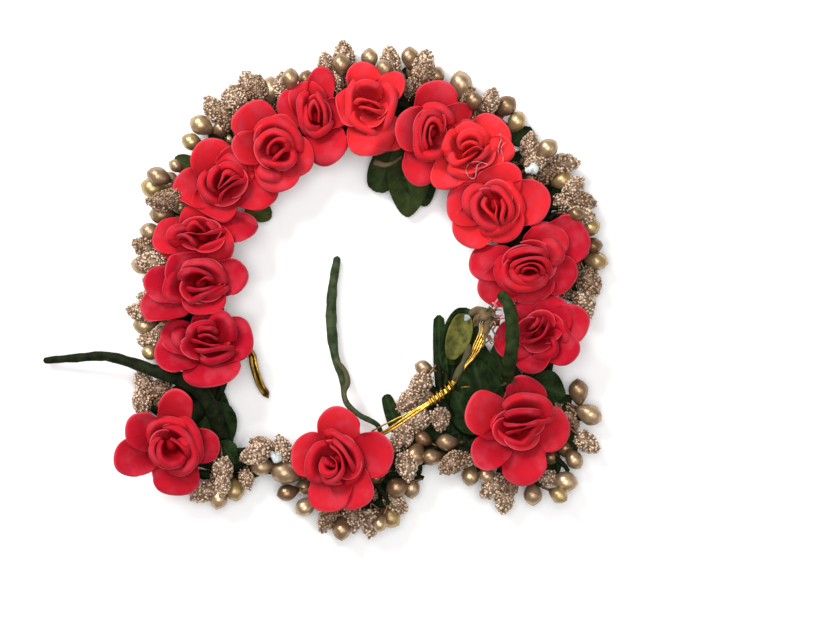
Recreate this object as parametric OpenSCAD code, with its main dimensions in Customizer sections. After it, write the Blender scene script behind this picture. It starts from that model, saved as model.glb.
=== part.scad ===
// Flower hair garland: a ring of wound green tape that carries red cupped roses, a fringe of
// gilded buds on wire stalks, dark green leaves, three taped stems and two gold tying wires.
// It lies flat, roses up. The origin is the middle of the opening for the hair bun, on the
// surface under the garland. Lengths are in millimetres.

/* [Roses] */
// Radius of an open rose
rose_r = 15.5; // [14.5:0.25:16]
// Thickness of a petal
petal_t = 0.9; // [0.7:0.1:1.1]
// Gap left between one rose and the next
rose_gap = 0.3; // [0.2:0.1:0.6]

/* [Core] */
// Width of the wound core
core_w = 7; // [6:0.5:7.5]
// Height of the wound core
core_h = 6; // [5:0.5:6]

/* [Buds] */
// Diameter of a smooth bud
smooth_d = 5.6; // [5:0.1:5.8]
// Length of a smooth bud
smooth_len = 7.8; // [7:0.1:8.2]
// Diameter of a sugared bud
sugar_d = 6; // [5.4:0.1:6.2]
// Length of a sugared bud
sugar_len = 9.2; // [8:0.1:9.6]
// Diameter of a bud's wire stalk
stalk_d = 1; // [0.8:0.1:1.2]

/* [Leaves] */
// Thickness of a leaf
leaf_t = 0.8; // [0.6:0.1:1]

/* [Stems and wires] */
// Diameter of a taped stem at its middle
stem_d = 3.2; // [2.8:0.1:3.4]
// Diameter of the gold tying wire
gold_d = 0.8; // [0.6:0.1:0.9]

/* [Hidden] */
$fn = 48;
fit_gap = 0.15;
core_sides = 10;
core_steps = 3;
hip_r = 2.3;
hip_z = core_h + fit_gap + hip_r;
far = 60;

red = [0.80, 0.07, 0.12];
deep_red = [0.66, 0.04, 0.08];
tape_green = [0.10, 0.22, 0.10];
leaf_green = [0.07, 0.20, 0.09];
old_gold = [0.66, 0.50, 0.30];
bright_gold = [0.86, 0.66, 0.16];

// The core's route, one point every 15 to 20 mm, from the lower left clockwise.
core_route = [
    [-56, -44], [-47, -31], [-45, -14], [-49, 3], [-46, 18], [-38, 33], [-25, 44],
    [-11, 52], [5, 54], [20, 49], [33, 40], [42, 26], [50, 9], [53, -9],
    [52, -27], [45, -42], [28, -47], [10, -50], [-8, -51], [-27, -50], [-44, -51]
];

// One row a rose: place, the heading that it leans to, how far it leans, its spin, its size.
ROSE_X = 0;
ROSE_Y = 1;
LEAN_TO = 2;
LEAN = 3;
SPIN = 4;
SIZE = 5;
roses = [
    [-46.2, -16.5,   40, 12,  20, 0.98],
    [-48.4,   2.2,  200,  6,  60, 1.02],
    [-46.2,  16.5,  130, 14,  15, 1.00],
    [-40.5,  32.0,  160, 10,  40, 0.98],
    [-26.5,  42.8,  330, 12,   0, 0.96],
    [-13.0,  52.0,    0, 14,  50, 0.96],
    [  3.3,  54.6,  100,  8,  30, 0.94],
    [ 21.0,  48.6,  110,  8,  10, 0.96],
    [ 33.8,  40.4,   60, 10,  55, 0.94],
    [ 41.0,  26.1,  340,  8,  25, 1.00],
    [ 50.0,   9.0,  320,  6,  45, 1.08],
    [ 54.4, -12.2,  300, 10,  40, 1.02],
    [ 46.2, -41.6,   20,  6,  54, 1.02],
    [ -5.4, -50.6,  160,  6,  18, 1.00],
    [-57.4, -45.2,  330,  6,  36, 1.00]
];

// Petal outlines, as shares of the rose's radius: out from its axis, and up.
outer_outline = [[0.06, 0.10], [0.26, 0.13], [0.52, 0.21], [0.77, 0.35], [1.02, 0.43]];
middle_outline = [[0.06, 0.21], [0.29, 0.25], [0.50, 0.40], [0.63, 0.61], [0.76, 0.80]];
inner_outline = [[0.06, 0.285], [0.28, 0.35], [0.42, 0.60], [0.48, 0.86]];

// The same shares for each ring of petals: how many, how far they reach, radius of their tips.
COUNT = 0;
TIPS_AT = 1;
TIP_R = 2;
outer_ring = [5, 1.00, 0.44];
middle_ring = [5, 0.74, 0.36];
inner_ring = [3, 0.53, 0.34];
// The rolled petals of the heart: low edge, high edge, degrees that each goes round, first turn.
LOW = 0;
HIGH = 1;
ROUND = 2;
FROM = 3;
loose_rolls = [[0.25, 0.40], [0.34, 0.88], 96, 30];
tight_roll = [[0.10, 0.40], [0.155, 0.94], 250, 75];
loose_count = 3;

// One row a spray: place on the route, side (1 outward, 0 on top of the core), turn of its
// middle from outward, fan of its stalks, how much shorter they are, and its buds in order:
// S sugared, P smooth. They stand in a near row and a far row by turns.
AT = 0;
SIDE = 1;
TURN = 2;
FAN = 3;
TRIM = 4;
KINDS = 5;
sprays = [
    [ 0.45, 1,   0,  50,  0, "SSS"],
    [ 2.55, 1,   0,  44,  0, "SSPSSS"],
    [ 3.50, 1,   0,  40,  0, "SPPSP"],
    [ 4.50, 1,   0,  40,  0, "SPPSP"],
    [ 5.45, 1,   0,  42, -1, "PPSSSP"],
    [ 6.55, 1,   0,  42, -1, "PSPSP"],
    [ 7.50, 1,   0,  54,  0, "SSPSP"],
    [ 8.45, 1,   0,  44,  0, "SPSPS"],
    [ 9.50, 1,   0,  52, -1, "PSPSPP"],
    [10.70, 1,   0,  58, -3, "SPSSSPS"],
    [12.20, 1,   0,  84, -2, "SSSPPPSS"],
    [14.70, 1,   0, 130, -3, "PPSPPSSPP"],
    [15.85, 0, -22,  92,  0, "PSPS"],
    [16.70, 0, -66, 104,  0, "SPS"],
    [17.70, 1,   0, 130, -1, "PPSSSSSPP"],
    [19.20, 0,  34, 140,  0, "SSPPS"],
    [19.90, 1, -15,  60,  4, "SPPS"]
];
// How far out a bud starts on its stalk, and how steeply it rises, in the near and far rows:
// for a spray on top of the core, and for one beside it.
near_reach = [3, 5.2];
near_rise = [18, 10];
far_reach = [5, 9.2];
far_rise = [12, 26];
// The bar of tape that binds a spray's stalks, and how far apart they leave it.
bar_r = 1.4;
stalk_pitch = 1.7;

// The spray that the right gold wire ties in: its knot, the foot of its own stalk at the core,
// and one row a bud: heading, rise, reach, kind.
tied_knot = [24.5, -32.4, 9.4];
tied_foot = [31, -42.2, 4.4];
tied_r = 2;
HEADING = 0;
CLIMB = 1;
REACH = 2;
KIND = 3;
tied_buds = [
    [118,  20,  7.5, "P"],
    [160,  13,  4.0, "S"],
    [188,  -6,  6.2, "S"],
    [228,  -3,  4.5, "S"],
    [268,  10,  1.8, "S"]
];

// Bud outlines, as shares of the radius and the length, from the stalk to the tip.
smooth_outline = [[0.22, 0], [0.48, 0.16], [0.86, 0.40], [1, 0.64], [0.80, 0.87], [0.34, 1]];
sugar_outline = [[0.35, 0], [0.84, 0.10], [1, 0.34], [0.84, 0.60], [0.54, 0.83], [0.20, 1]];

// One row a blade: leaf it belongs to, place and height of its foot, heading, rise, size.
LEAF = 0;
FOOT = 1;
POINTS = 2;
RISE = 3;
LONG = 4;
WIDE = 5;
blades = [
    [0, [11.0, 46.0, 3.4], 245,  2, 18, 11],
    [0, [14.5, 45.5, 3.4], 281,  2, 22, 15],
    [1, [26.5, -42.6, 4.4],  96,  5, 35,  9],
    [2, [40.0, -38.5, 4.6], 110,  8, 32, 11],
    [3, [51.5, -27.5, 7.0], 340,  4, 11, 11],
    [4, [13.4, -45.4, 4.4], 112,  5, 15,  7],
    [5, [-42.6, -45.4, 7.0], 306, 10,  8,  7]
];
leaf_count = 6;
blade_rows = 8;
blade_fold = 0.22;
blade_droop = 1.5;

// Routes of the taped stems and the gold wires: x, y, z.
left_stem_route = [
    [-42, -43.5, 3.4], [-44, -37, 7], [-48, -30, 10], [-54, -26.3, 11], [-60, -24.4, 11],
    [-68, -21.6, 9.4], [-77, -19.4, 7], [-87, -20, 4.4], [-96.5, -20.8, 2.2]
];
middle_stem_route = [
    [6.4, -45, 5], [5.2, -40.2, 8.2], [-0.4, -37.2, 8.8], [-4, -33, 8], [-4.8, -27, 6.4],
    [-7.6, -19.5, 4.6], [-8.6, -11, 3.4], [-8.9, -3, 2.6], [-8.2, 4, 2.2], [-7, 11, 2]
];
right_stem_route = [
    [49.5, -32.5, 8.7], [46.4, -30, 9.8], [44.4, -27, 11.8], [44.2, -23.2, 18.6],
    [45.0, -18.5, 23], [45.7, -13.8, 24.2], [45.2, -8.5, 24.6], [44.4, -4, 24.4], [42.5, -0.3, 24]
];
left_wire_route = [
    [-40.9, -14, 3.4], [-37.5, -15.6, 4.6], [-33.6, -19, 4.6], [-31.2, -24.3, 3.2], [-28.8, -30.5, 1.4]
];
right_wire_route = [
    [48, -12, 5], [42, -12.4, 7.5], [36.6, -13.4, 10], [32.6, -19.5, 12.6], [27.6, -27, 14],
    [22, -32.6, 14.2], [13, -37, 13.2], [6.4, -41.6, 11.4]
];
// Half the width of each gold wire's folded loop.
left_loop = 1.1;
right_loop = 1.4;

function numbered(kind, i, part) = str(kind, "_", i < 9 ? "0" : "", i + 1, part);

// A point of a smooth curve through four points, t from 0 to 1 between the middle two.
function spline(a, b, c, d, t) =
    0.5 * (2 * b + (c - a) * t + (2 * a - 5 * b + 4 * c - d) * t * t
        + (3 * b - a - 3 * c + d) * t * t * t);

function on_loop(p, u) = let (n = len(p), i = floor(u), t = u - i)
    spline(p[(i + n - 1) % n], p[i % n], p[(i + 1) % n], p[(i + 2) % n], t);

function on_open(p, u) = let (n = len(p), i = min(floor(u), n - 2), t = u - i)
    spline(p[max(i - 1, 0)], p[i], p[i + 1], p[min(i + 2, n - 1)], t);

function smooth_open(p, steps) = [for (s = [0 : (len(p) - 1) * steps]) on_open(p, s / steps)];

function unit(v) = v / norm(v);
function heading(a) = [cos(a), sin(a), 0];
function lifted(a, rise) = [cos(rise) * cos(a), cos(rise) * sin(a), sin(rise)];

// The core's centre line, and the level direction out of the ring, at a place on its route.
function core_at(u) = let (p = on_loop(core_route, u)) [p.x, p.y, core_h / 2];
function core_out(u) =
    let (n = len(core_route), a = unit(core_at(u + 0.02) - core_at(u + n - 0.02))) [-a.y, a.x, 0];

// Turns +Z to a direction.
module aim(d) rotate([0, acos(d.z / norm(d)), atan2(d.y, d.x)]) children();

// A closed surface over rings of points, with flat ends, or joined end to end as a loop.
module skin(rings, loop = false) {
    n = len(rings);
    m = len(rings[0]);
    last = loop ? n - 1 : n - 2;
    sides = [for (i = [0 : last], j = [0 : m - 1])
        let (a = i * m + j, b = i * m + (j + 1) % m,
             c = (i + 1) % n * m + (j + 1) % m, d = (i + 1) % n * m + j)
        each [[a, b, c], [a, c, d]]];
    ends = loop ? [] : [
        [for (j = [m - 1 : -1 : 0]) j],
        [for (j = [0 : m - 1]) (n - 1) * m + j]
    ];
    polyhedron(points = [for (r = rings) each r], faces = concat(sides, ends));
}

// A round tube along a path, with a radius for each point.
module tube(path, radii, sides) {
    n = len(path);
    skin([for (i = [0 : n - 1])
        let (along = unit(path[min(i + 1, n - 1)] - path[max(i - 1, 0)]),
             across = unit(cross(along, [0, 0, 1])), up = cross(across, along))
        [for (j = [0 : sides - 1])
            let (a = j * 360 / sides) path[i] + radii[i] * (cos(a) * across + sin(a) * up)]]);
}

// The wound core: a flat-footed round section, carried round the closed route.
module core() color(tape_green) {
    n = len(core_route) * core_steps;
    step = 360 / core_sides;
    top = sin(2 * step);
    skin([for (i = [0 : n - 1])
        let (u = i / core_steps, middle = core_at(u), out = core_out(u))
        [for (j = [0 : core_sides - 1])
            let (a = j * step)
            middle - core_w / 2 * cos(a) * out + [0, 0, core_h / 2 * sin(a) / top]]], true);
}

// A wall over an outline that runs outwards: the outline is its lower face.
function wall(p, t) = concat(p, [for (i = [len(p) - 1 : -1 : 0])
    let (d = unit(p[min(i + 1, len(p) - 1)] - p[max(i - 1, 0)])) p[i] + t * [-d.y, d.x]]);

// A ring of round petals cut from one cupped wall.
module petal_ring(outline, ring) intersection() {
    tip_r = ring[TIP_R] * rose_r;
    shoulder = ring[TIPS_AT] * rose_r - tip_r;
    rotate_extrude() polygon(wall(rose_r * outline, petal_t));
    union() {
        for (k = [0 : ring[COUNT] - 1])
            rotate([0, 0, k * 360 / ring[COUNT]]) translate([shoulder, 0, 0])
                cylinder(r = tip_r, h = 1.1 * rose_r);
        cylinder(r = shoulder, h = 1.1 * rose_r);
    }
}

// A rolled petal: a leaning wall that goes part of the way round, bulging a little.
module roll(r, turn) rotate([0, 0, r[FROM] + turn]) rotate_extrude(angle = r[ROUND])
    polygon(wall(rose_r * [r[LOW], (r[LOW] + r[HIGH]) / 2 + [0.015, 0], r[HIGH]], petal_t));

module open_petals() {
    petal_ring(outer_outline, outer_ring);
    rotate([0, 0, 36]) petal_ring(middle_outline, middle_ring);
    cylinder(r = 0.11 * rose_r, h = 0.25 * rose_r);
}

module closed_petals() {
    petal_ring(inner_outline, inner_ring);
    translate([0, 0, 0.34 * rose_r]) cylinder(r = 0.23 * rose_r, h = 0.1 * rose_r);
    for (k = [0 : loose_count - 1])
        roll(loose_rolls, k * 360 / loose_count);
    roll(tight_roll, 0);
}

// Takes a shape made on its own axis to a rose's place on the core.
module at_rose(i) {
    r = roses[i];
    translate([r[ROSE_X], r[ROSE_Y], hip_z]) aim(lifted(r[LEAN_TO], 90 - r[LEAN]))
        rotate([0, 0, r[SPIN]]) children();
}

// Where a rose's petals are centred, above its hip.
function rose_middle(i) = let (r = roses[i])
    [r[ROSE_X], r[ROSE_Y], 0] + rose_r / 2 * sin(r[LEAN]) * heading(r[LEAN_TO]);

// What lies past the upright plane half way to the neighbour.
module beyond(i, neighbour) {
    to = rose_middle(neighbour) - rose_middle(i);
    translate((rose_middle(i) + rose_middle(neighbour)) / 2) rotate([0, 0, atan2(to.y, to.x)])
        translate([-rose_gap / 2, -far, -far]) cube(2 * far);
}

// A rose's part, pressed flat where it meets the rose on either side.
module pressed(i) difference() {
    children();
    beyond(i, (i + 1) % len(roses));
    beyond(i, (i + len(roses) - 1) % len(roses));
}

module rose_petals(i) color(red) pressed(i) at_rose(i) {
    scale(roses[i][SIZE]) open_petals();
    sphere(r = hip_r);
}

module rose_heart(i) color(deep_red) pressed(i) at_rose(i) scale(roses[i][SIZE]) closed_petals();

module bud(outline, d, long) rotate_extrude()
    polygon(concat([[0, 0]], [for (p = outline) [p.x * d / 2, p.y * long]], [[0, long]]));

// A bud on its wire stalk, along a direction, with the stalk's foot at a distance on it.
module stalked_bud(kind, direction, foot, reach) aim(direction) {
    translate([0, 0, foot]) cylinder(d = stalk_d, h = reach + 1 - foot);
    translate([0, 0, reach])
        if (kind == "S") bud(sugar_outline, sugar_d, sugar_len);
        else bud(smooth_outline, smooth_d, smooth_len);
}

// Where the bar of a spray lies: beside the core, or on top of it.
function bar_at(u, side) = side == 0
    ? core_at(u) + [0, 0, core_h / 2 + fit_gap + bar_r]
    : core_at(u) + side * (core_w / 2 + fit_gap + bar_r) * core_out(u);

// A spray: smooth and sugared buds on wire stalks that leave one bar of tape side by side.
module spray(i) color(old_gold) {
    s = sprays[i];
    out = core_out(s[AT]);
    along = [-out.y, out.x, 0];
    last = len(s[KINDS]) - 1;
    half = last * stalk_pitch / 2;
    middle = atan2(out.y, out.x) + s[TURN];
    side = s[SIDE];
    translate(bar_at(s[AT], side)) {
        aim(along) translate([0, 0, -half - bar_r / 2]) cylinder(r = bar_r, h = 2 * half + bar_r);
        for (j = [0 : last]) {
            points = middle + s[FAN] * (j / last - 0.5);
            near = j % 2 == 0;
            rise = near ? near_rise[side] : far_rise[side];
            reach = (near ? near_reach[side] : far_reach[side]) - s[TRIM];
            translate((j * stalk_pitch - half) * along)
                stalked_bud(s[KINDS][j], lifted(points, rise), 0, reach);
        }
    }
}

// The spray under the wire's wrap.
module tied_spray() color(old_gold) {
    down = tied_foot - tied_knot;
    translate(tied_knot) {
        sphere(r = tied_r);
        aim(down) translate([0, 0, tied_r - 0.3]) cylinder(d = stalk_d, h = norm(down) - tied_r);
        for (b = tied_buds)
            stalked_bud(b[KIND], lifted(b[HEADING], b[CLIMB]), tied_r - 0.3, b[REACH]);
    }
}

// Height of a blade at a share of its length and of its half width: its halves curve up from
// the midrib, and it droops to the tip.
function blade_z(t, s, half) = blade_fold * pow(abs(s), 1.6) * half - blade_droop * t * t;

// A thin pointed blade along +X.
module blade(long, wide) {
    across = [-1, -0.5, 0, 0.5, 1];
    skin([for (i = [0 : blade_rows])
        let (t = i / blade_rows, half = 0.5 + (wide / 2 - 0.5) * sin(180 * pow(t, 0.8)),
             top = [for (s = across) [long * t, s * half, blade_z(t, s, half) + leaf_t / 2]])
        concat(top, [for (k = [len(top) - 1 : -1 : 0]) top[k] - [0, 0, leaf_t]])]);
}

module leaf(i) color(leaf_green)
    for (b = blades)
        if (b[LEAF] == i)
            translate(b[FOOT]) rotate([0, 0, b[POINTS]]) rotate([0, -b[RISE], 0])
                blade(b[LONG], b[WIDE]);

// A taped stem: thick at its foot, thin at its tip.
module stem(route) color(tape_green) {
    path = smooth_open(route, 2);
    n = len(path) - 1;
    tube(path, [for (i = [0 : n]) stem_d / 2 * (1 + 0.5 * pow(1 - i / n, 3) - 0.2 * i / n)], 8);
}

// A gold wire folded back on itself as a long loop of two strands.
module gold_wire(route, half) color(bright_gold) {
    path = smooth_open(route, 4);
    n = len(path) - 1;
    side = [for (i = [0 : n])
        half * unit(cross(path[min(i + 1, n)] - path[max(i - 1, 0)], [0, 0, 1]))];
    ahead = half * unit(path[n] - path[n - 1]);
    bend = [for (a = [30 : 60 : 150]) path[n] + cos(a) * side[n] + sin(a) * ahead];
    strands = concat(
        [for (i = [0 : n]) path[i] + side[i]],
        bend,
        [for (i = [n : -1 : 0]) path[i] - side[i]]
    );
    tube(strands, [for (p = strands) gold_d / 2], 6);
}

core();
for (i = [0 : len(roses) - 1]) {
    rose_petals(i);
    rose_heart(i);
}
for (i = [0 : len(sprays) - 1])
    spray(i);
for (i = [0 : leaf_count - 1])
    leaf(i);
tied_spray();
stem(left_stem_route);  // left_stem
stem(middle_stem_route);  // middle_stem
stem(right_stem_route);  // right_stem
gold_wire(left_wire_route, left_loop);  // left_gold_wire
gold_wire(right_wire_route, right_loop);  // right_gold_wire
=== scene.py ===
import math

import bpy
import numpy as np
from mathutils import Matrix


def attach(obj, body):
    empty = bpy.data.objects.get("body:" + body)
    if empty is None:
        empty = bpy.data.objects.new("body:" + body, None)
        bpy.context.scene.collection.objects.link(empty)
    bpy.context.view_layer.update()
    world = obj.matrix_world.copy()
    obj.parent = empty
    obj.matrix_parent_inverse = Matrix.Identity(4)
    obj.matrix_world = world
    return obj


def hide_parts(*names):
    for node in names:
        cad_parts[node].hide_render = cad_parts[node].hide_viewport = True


# A hair garland of cloth roses, gilt buds, leaves and taped wire, lying flat with its roses up.
# Shapes are worked out in millimetres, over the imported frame, and turned to metres at the end.
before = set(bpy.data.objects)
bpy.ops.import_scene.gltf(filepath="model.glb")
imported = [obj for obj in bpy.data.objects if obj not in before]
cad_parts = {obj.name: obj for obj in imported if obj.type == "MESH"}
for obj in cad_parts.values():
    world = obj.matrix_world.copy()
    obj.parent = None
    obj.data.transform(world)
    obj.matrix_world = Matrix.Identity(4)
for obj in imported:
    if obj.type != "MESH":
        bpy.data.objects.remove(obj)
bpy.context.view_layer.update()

mm = 0.001
view = {
    "width": 828, "height": 621,           # the photograph's own frame
    "pixel": 0.30,                         # millimetres to one of its pixels
    "middle": (360, 292),                  # the pixel over the origin
    "distance": 900,                       # from the lens to the roses
    "focusHeight": 14,
    "sensor": 36,
}


def fromPhoto(x, y):
    return np.array([(x - view["middle"][0]) * view["pixel"], (view["middle"][1] - y) * view["pixel"]])


def pixels(text):
    # "x,y x,y ..." of the photograph, as millimetres
    return np.array([fromPhoto(*map(float, item.split(","))) for item in text.split()])


def onRoute(places, heights):
    return np.column_stack([pixels(places), heights])


# Meshes


class Heap:
    # Gathers the parts of one piece: points, faces, and two marks for the shaders to read.
    def __init__(self):
        self.points, self.faces, self.finishes, self.marks, self.tints = [], [], [], [], []
        self.count = 0

    def add(self, points, faces, finish=0, mark=0.0, tint=0.0):
        points = np.asarray(points, float).reshape(-1, 3)
        self.faces += [tuple(i + self.count for i in face) for face in faces]
        self.finishes += [finish] * len(faces)
        self.points.append(points)
        for values, value in ((self.marks, mark), (self.tints, tint)):
            values.append(np.broadcast_to(np.asarray(value, float).ravel(), (len(points),)))
        self.count += len(points)


builtPoints = []        # of every piece, for what is laid on them later


def topAt(x, y, reach):
    points = np.concatenate(builtPoints)
    near = np.hypot(points[:, 0] - x, points[:, 1] - y) < reach
    return points[near, 2].max() if near.any() else 0.0


def put(name, data):
    thing = bpy.data.objects.new(name, data)
    bpy.context.scene.collection.objects.link(thing)
    return thing


def makePiece(name, heap, finishes, replaced=()):
    mesh = bpy.data.meshes.new(name)
    points = np.concatenate(heap.points)
    points[:, 2] = np.maximum(points[:, 2], 0.02)      # what touches the surface lies flat on it
    builtPoints.append(points)
    mesh.from_pydata((points * mm).tolist(), [], heap.faces)
    for label, values in (("mark", heap.marks), ("tint", heap.tints)):
        layer = mesh.attributes.new(label, "FLOAT", "POINT")
        layer.data.foreach_set("value", np.concatenate(values).astype(np.float32))
    for finish in finishes:
        mesh.materials.append(finish)
    mesh.polygons.foreach_set("material_index", heap.finishes)
    mesh.polygons.foreach_set("use_smooth", [True] * len(heap.faces))
    mesh.validate()
    piece = put(name, mesh)
    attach(piece, "root")
    if replaced:
        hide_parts(*replaced)


def unit(vector):
    return vector / (np.linalg.norm(vector, axis=-1, keepdims=True) + 1e-12)


def ringOf(sides):
    return np.arange(sides) * 2 * math.pi / sides


def pointing(heading, rise):
    # the direction at a heading and a rise, in radians
    return np.array([math.cos(heading) * math.cos(rise), math.sin(heading) * math.cos(rise), math.sin(rise)])


def swung(x, y, angle):
    # turned about +Z, by radians
    return x * math.cos(angle) - y * math.sin(angle), x * math.sin(angle) + y * math.cos(angle)


def turned(points, direction):
    # Turns +Z to a direction.
    direction = unit(np.asarray(direction, float))
    side = unit(np.cross([0.0, 1.0, 0.0] if abs(direction[1]) < 0.9 else [1.0, 0.0, 0.0], direction))
    return np.asarray(points) @ np.array([side, np.cross(direction, side), direction])


def sheetFaces(rows, columns, loop=False):
    i, j = np.meshgrid(np.arange(rows - 1), np.arange(columns if loop else columns - 1), indexing="ij")
    i, j = i.ravel(), j.ravel()
    k = (j + 1) % columns
    return np.stack([i * columns + j, i * columns + k, (i + 1) * columns + k, (i + 1) * columns + j], 1)


def shell(grid, thick):
    # A closed thin wall on both sides of a sheet of points.
    rows, columns = grid.shape[:2]
    normal = unit(np.cross(np.gradient(grid, axis=1), np.gradient(grid, axis=0)))
    points = np.concatenate([(grid + side * normal * thick / 2).reshape(-1, 3) for side in (1, -1)])
    front = sheetFaces(rows, columns)
    size = rows * columns
    index = np.arange(size).reshape(rows, columns)
    edge = np.concatenate([index[0], index[1:, -1], index[-1, -2::-1], index[-2:0:-1, 0]])
    after = np.roll(edge, -1)
    rim = np.stack([after, edge, edge + size, after + size], 1)
    return points, np.concatenate([front, front[:, ::-1] + size, rim]).tolist()


def capped(rings, ends):
    # One body from a row of rings, closed at both ends round a middle point.
    rows, sides = rings.shape[:2]
    last = (rows - 1) * sides
    faces = sheetFaces(rows, sides, True).tolist()
    faces += [[last + sides, (j + 1) % sides, j] for j in range(sides)]
    faces += [[last + sides + 1, last + j, last + (j + 1) % sides] for j in range(sides)]
    return np.concatenate([rings.reshape(-1, 3), ends]), faces


def tube(path, radii, sides=8, section=1.0):
    # A closed tube along a path; section gives a share of the radius for each place on it.
    path = np.asarray(path, float)
    along = unit(np.gradient(path, axis=0))
    across = np.zeros_like(path)
    start = np.cross(along[0], [0.0, 0.0, 1.0])
    across[0] = unit(start if np.linalg.norm(start) > 0.1 else np.cross(along[0], [1.0, 0.0, 0.0]))
    for i in range(1, len(path)):
        across[i] = unit(across[i - 1] - along[i] * np.dot(across[i - 1], along[i]))
    angle = ringOf(sides)[:, None]
    radii = np.broadcast_to(np.asarray(radii, float), (len(path),))[:, None] * section
    circle = np.cos(angle) * across[:, None] + np.sin(angle) * np.cross(across, along)[:, None]
    return capped(path[:, None] + radii[..., None] * circle, [path[0], path[-1]])


def lathe(outline, sides):
    # A turned body on +Z from (radius, height) rows, closed at both ends.
    outline = np.asarray(outline, float)
    radius, height = outline[:, :1], outline[:, 1:]
    rings = np.stack([radius * np.cos(ringOf(sides)), radius * np.sin(ringOf(sides)),
                      np.repeat(height, sides, 1)], 2)
    return capped(rings, [[0, 0, height[0, 0]], [0, 0, height[-1, 0]]])


def spline(points, steps, loop=False):
    # A smooth curve through points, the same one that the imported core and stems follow.
    points = np.asarray(points, float)
    n = len(points)
    spans = n if loop else n - 1
    places = np.arange(spans * steps + (not loop)) / steps
    i = np.minimum(np.floor(places).astype(int), spans - 1)
    t = (places - i)[:, None]
    a, b, c, d = (points[(i + k) % n if loop else np.clip(i + k, 0, n - 1)] for k in (-1, 0, 1, 2))
    return 0.5 * (2 * b + (c - a) * t + (2 * a - 5 * b + 4 * c - d) * t ** 2 + (3 * b - a - 3 * c + d) * t ** 3)


def evenly(path, gap):
    # The same curve with a point every gap millimetres, and how far along it each one is.
    lengths = np.concatenate([[0], np.cumsum(np.linalg.norm(np.diff(path, axis=0), axis=1))])
    places = np.linspace(0, lengths[-1], max(int(lengths[-1] / gap), 2) + 1)
    return np.stack([np.interp(places, lengths, column) for column in path.T], 1), places


def alongPath(values, path):
    # A column with a value for each point of a path, from values spread evenly along it.
    return np.interp(np.linspace(0, 1, len(path)), np.linspace(0, 1, len(values)), values)[:, None]


def sideOf(path):
    return unit(np.cross(np.gradient(path, axis=0), [0, 0, 1]))


# Finishes


class Value:
    # A shader socket that takes part in Python sums.
    def __init__(self, tree, socket):
        self.tree, self.socket = tree, socket

    def math(self, operation, *others):
        node = self.tree.nodes.new("ShaderNodeMath")
        node.operation = operation
        for socket, item in zip(node.inputs, others):
            feed(self.tree, socket, item)
        return Value(self.tree, node.outputs[0])

    def __add__(self, other):
        return self.math("ADD", self, other)

    def __sub__(self, other):
        return self.math("SUBTRACT", self, other)

    def __rsub__(self, other):
        return self.math("SUBTRACT", other, self)

    def __mul__(self, other):
        return self.math("MULTIPLY", self, other)

    __radd__, __rmul__ = __add__, __mul__


def feed(tree, socket, value):
    if isinstance(value, Value):
        tree.links.new(value.socket, socket)
    else:
        socket.default_value = (*value, 1) if socket.type == "RGBA" else value


def named(sockets, name):
    return next(socket for socket in sockets if name in (socket.identifier, socket.name))


class Finish:
    # One material: its shader, and one method for every node that isn't a sum.
    def __init__(self, name, metallic=0.0, shine=0.5):
        self.material = bpy.data.materials.new(name)
        self.material.use_nodes = True
        self.tree = self.material.node_tree
        self.shader = self.tree.nodes["Principled BSDF"]
        self.shader.inputs["Metallic"].default_value = metallic
        self.shader.inputs["Specular IOR Level"].default_value = shine

    def node(self, kind, settings=None, inputs=None, output=None):
        node = self.tree.nodes.new("ShaderNode" + kind)
        for key, value in (settings or {}).items():
            setattr(node, key, value)
        for key, value in (inputs or {}).items():
            feed(self.tree, named(node.inputs, key), value)
        return Value(self.tree, named(node.outputs, output) if output else node.outputs[0])

    def mix(self, factor, low, high):
        return self.node("Mix", {"data_type": "RGBA"}, {
            "Factor_Float": factor, "A_Color": low, "B_Color": high}, "Result_Color")

    def ranged(self, value, low, high, toLow=0.0, toHigh=1.0):
        return self.node("MapRange", {"interpolation_type": "SMOOTHSTEP"}, {
            "Value": value, "From Min": low, "From Max": high, "To Min": toLow, "To Max": toHigh})

    def noise(self, size, detail=3.0, stretch=None):
        # size is that of one blotch, in millimetres
        place = self.node("TexCoord", output="Object")
        if stretch:
            place = self.node("Mapping", None, {"Vector": place, "Scale": stretch})
        return self.node("TexNoise", None, {"Vector": place, "Scale": 1 / (size * mm), "Detail": detail})

    def mark(self, name):
        return self.node("Attribute", {"attribute_name": name}, output="Fac")

    def done(self, base, rough, grain=None, depth=0.1):
        # rough is one value, or its least and greatest over the grain, which is depth millimetres deep
        if isinstance(rough, tuple):
            rough = self.ranged(grain, 0.2, 0.8, *rough)
        varying = {"Base Color": base, "Roughness": rough}
        if grain is not None:
            varying["Normal"] = self.node("Bump", None, {"Height": grain, "Distance": depth * mm, "Strength": 1.0})
        for name, value in varying.items():
            feed(self.tree, self.shader.inputs[name], value)
        return self.material


def darker(colour, share):
    return tuple(share * part for part in colour)


# deep is the colour of the darker blotches and of the painted shade in the hollows
cloth = {"red": (0.37, 0.0050, 0.018), "deep": (0.20, 0.0003, 0.0020), "orangeAndPaintedLight": (0.78, 0.027, 0.031),
         "wearAndSheen": (0.62, 0.068, 0.105), "rim": (0.72, 0.12, 0.15),
         "blotch": 5.5, "fibre": 0.35, "nap": 0.035}        # millimetres


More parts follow.
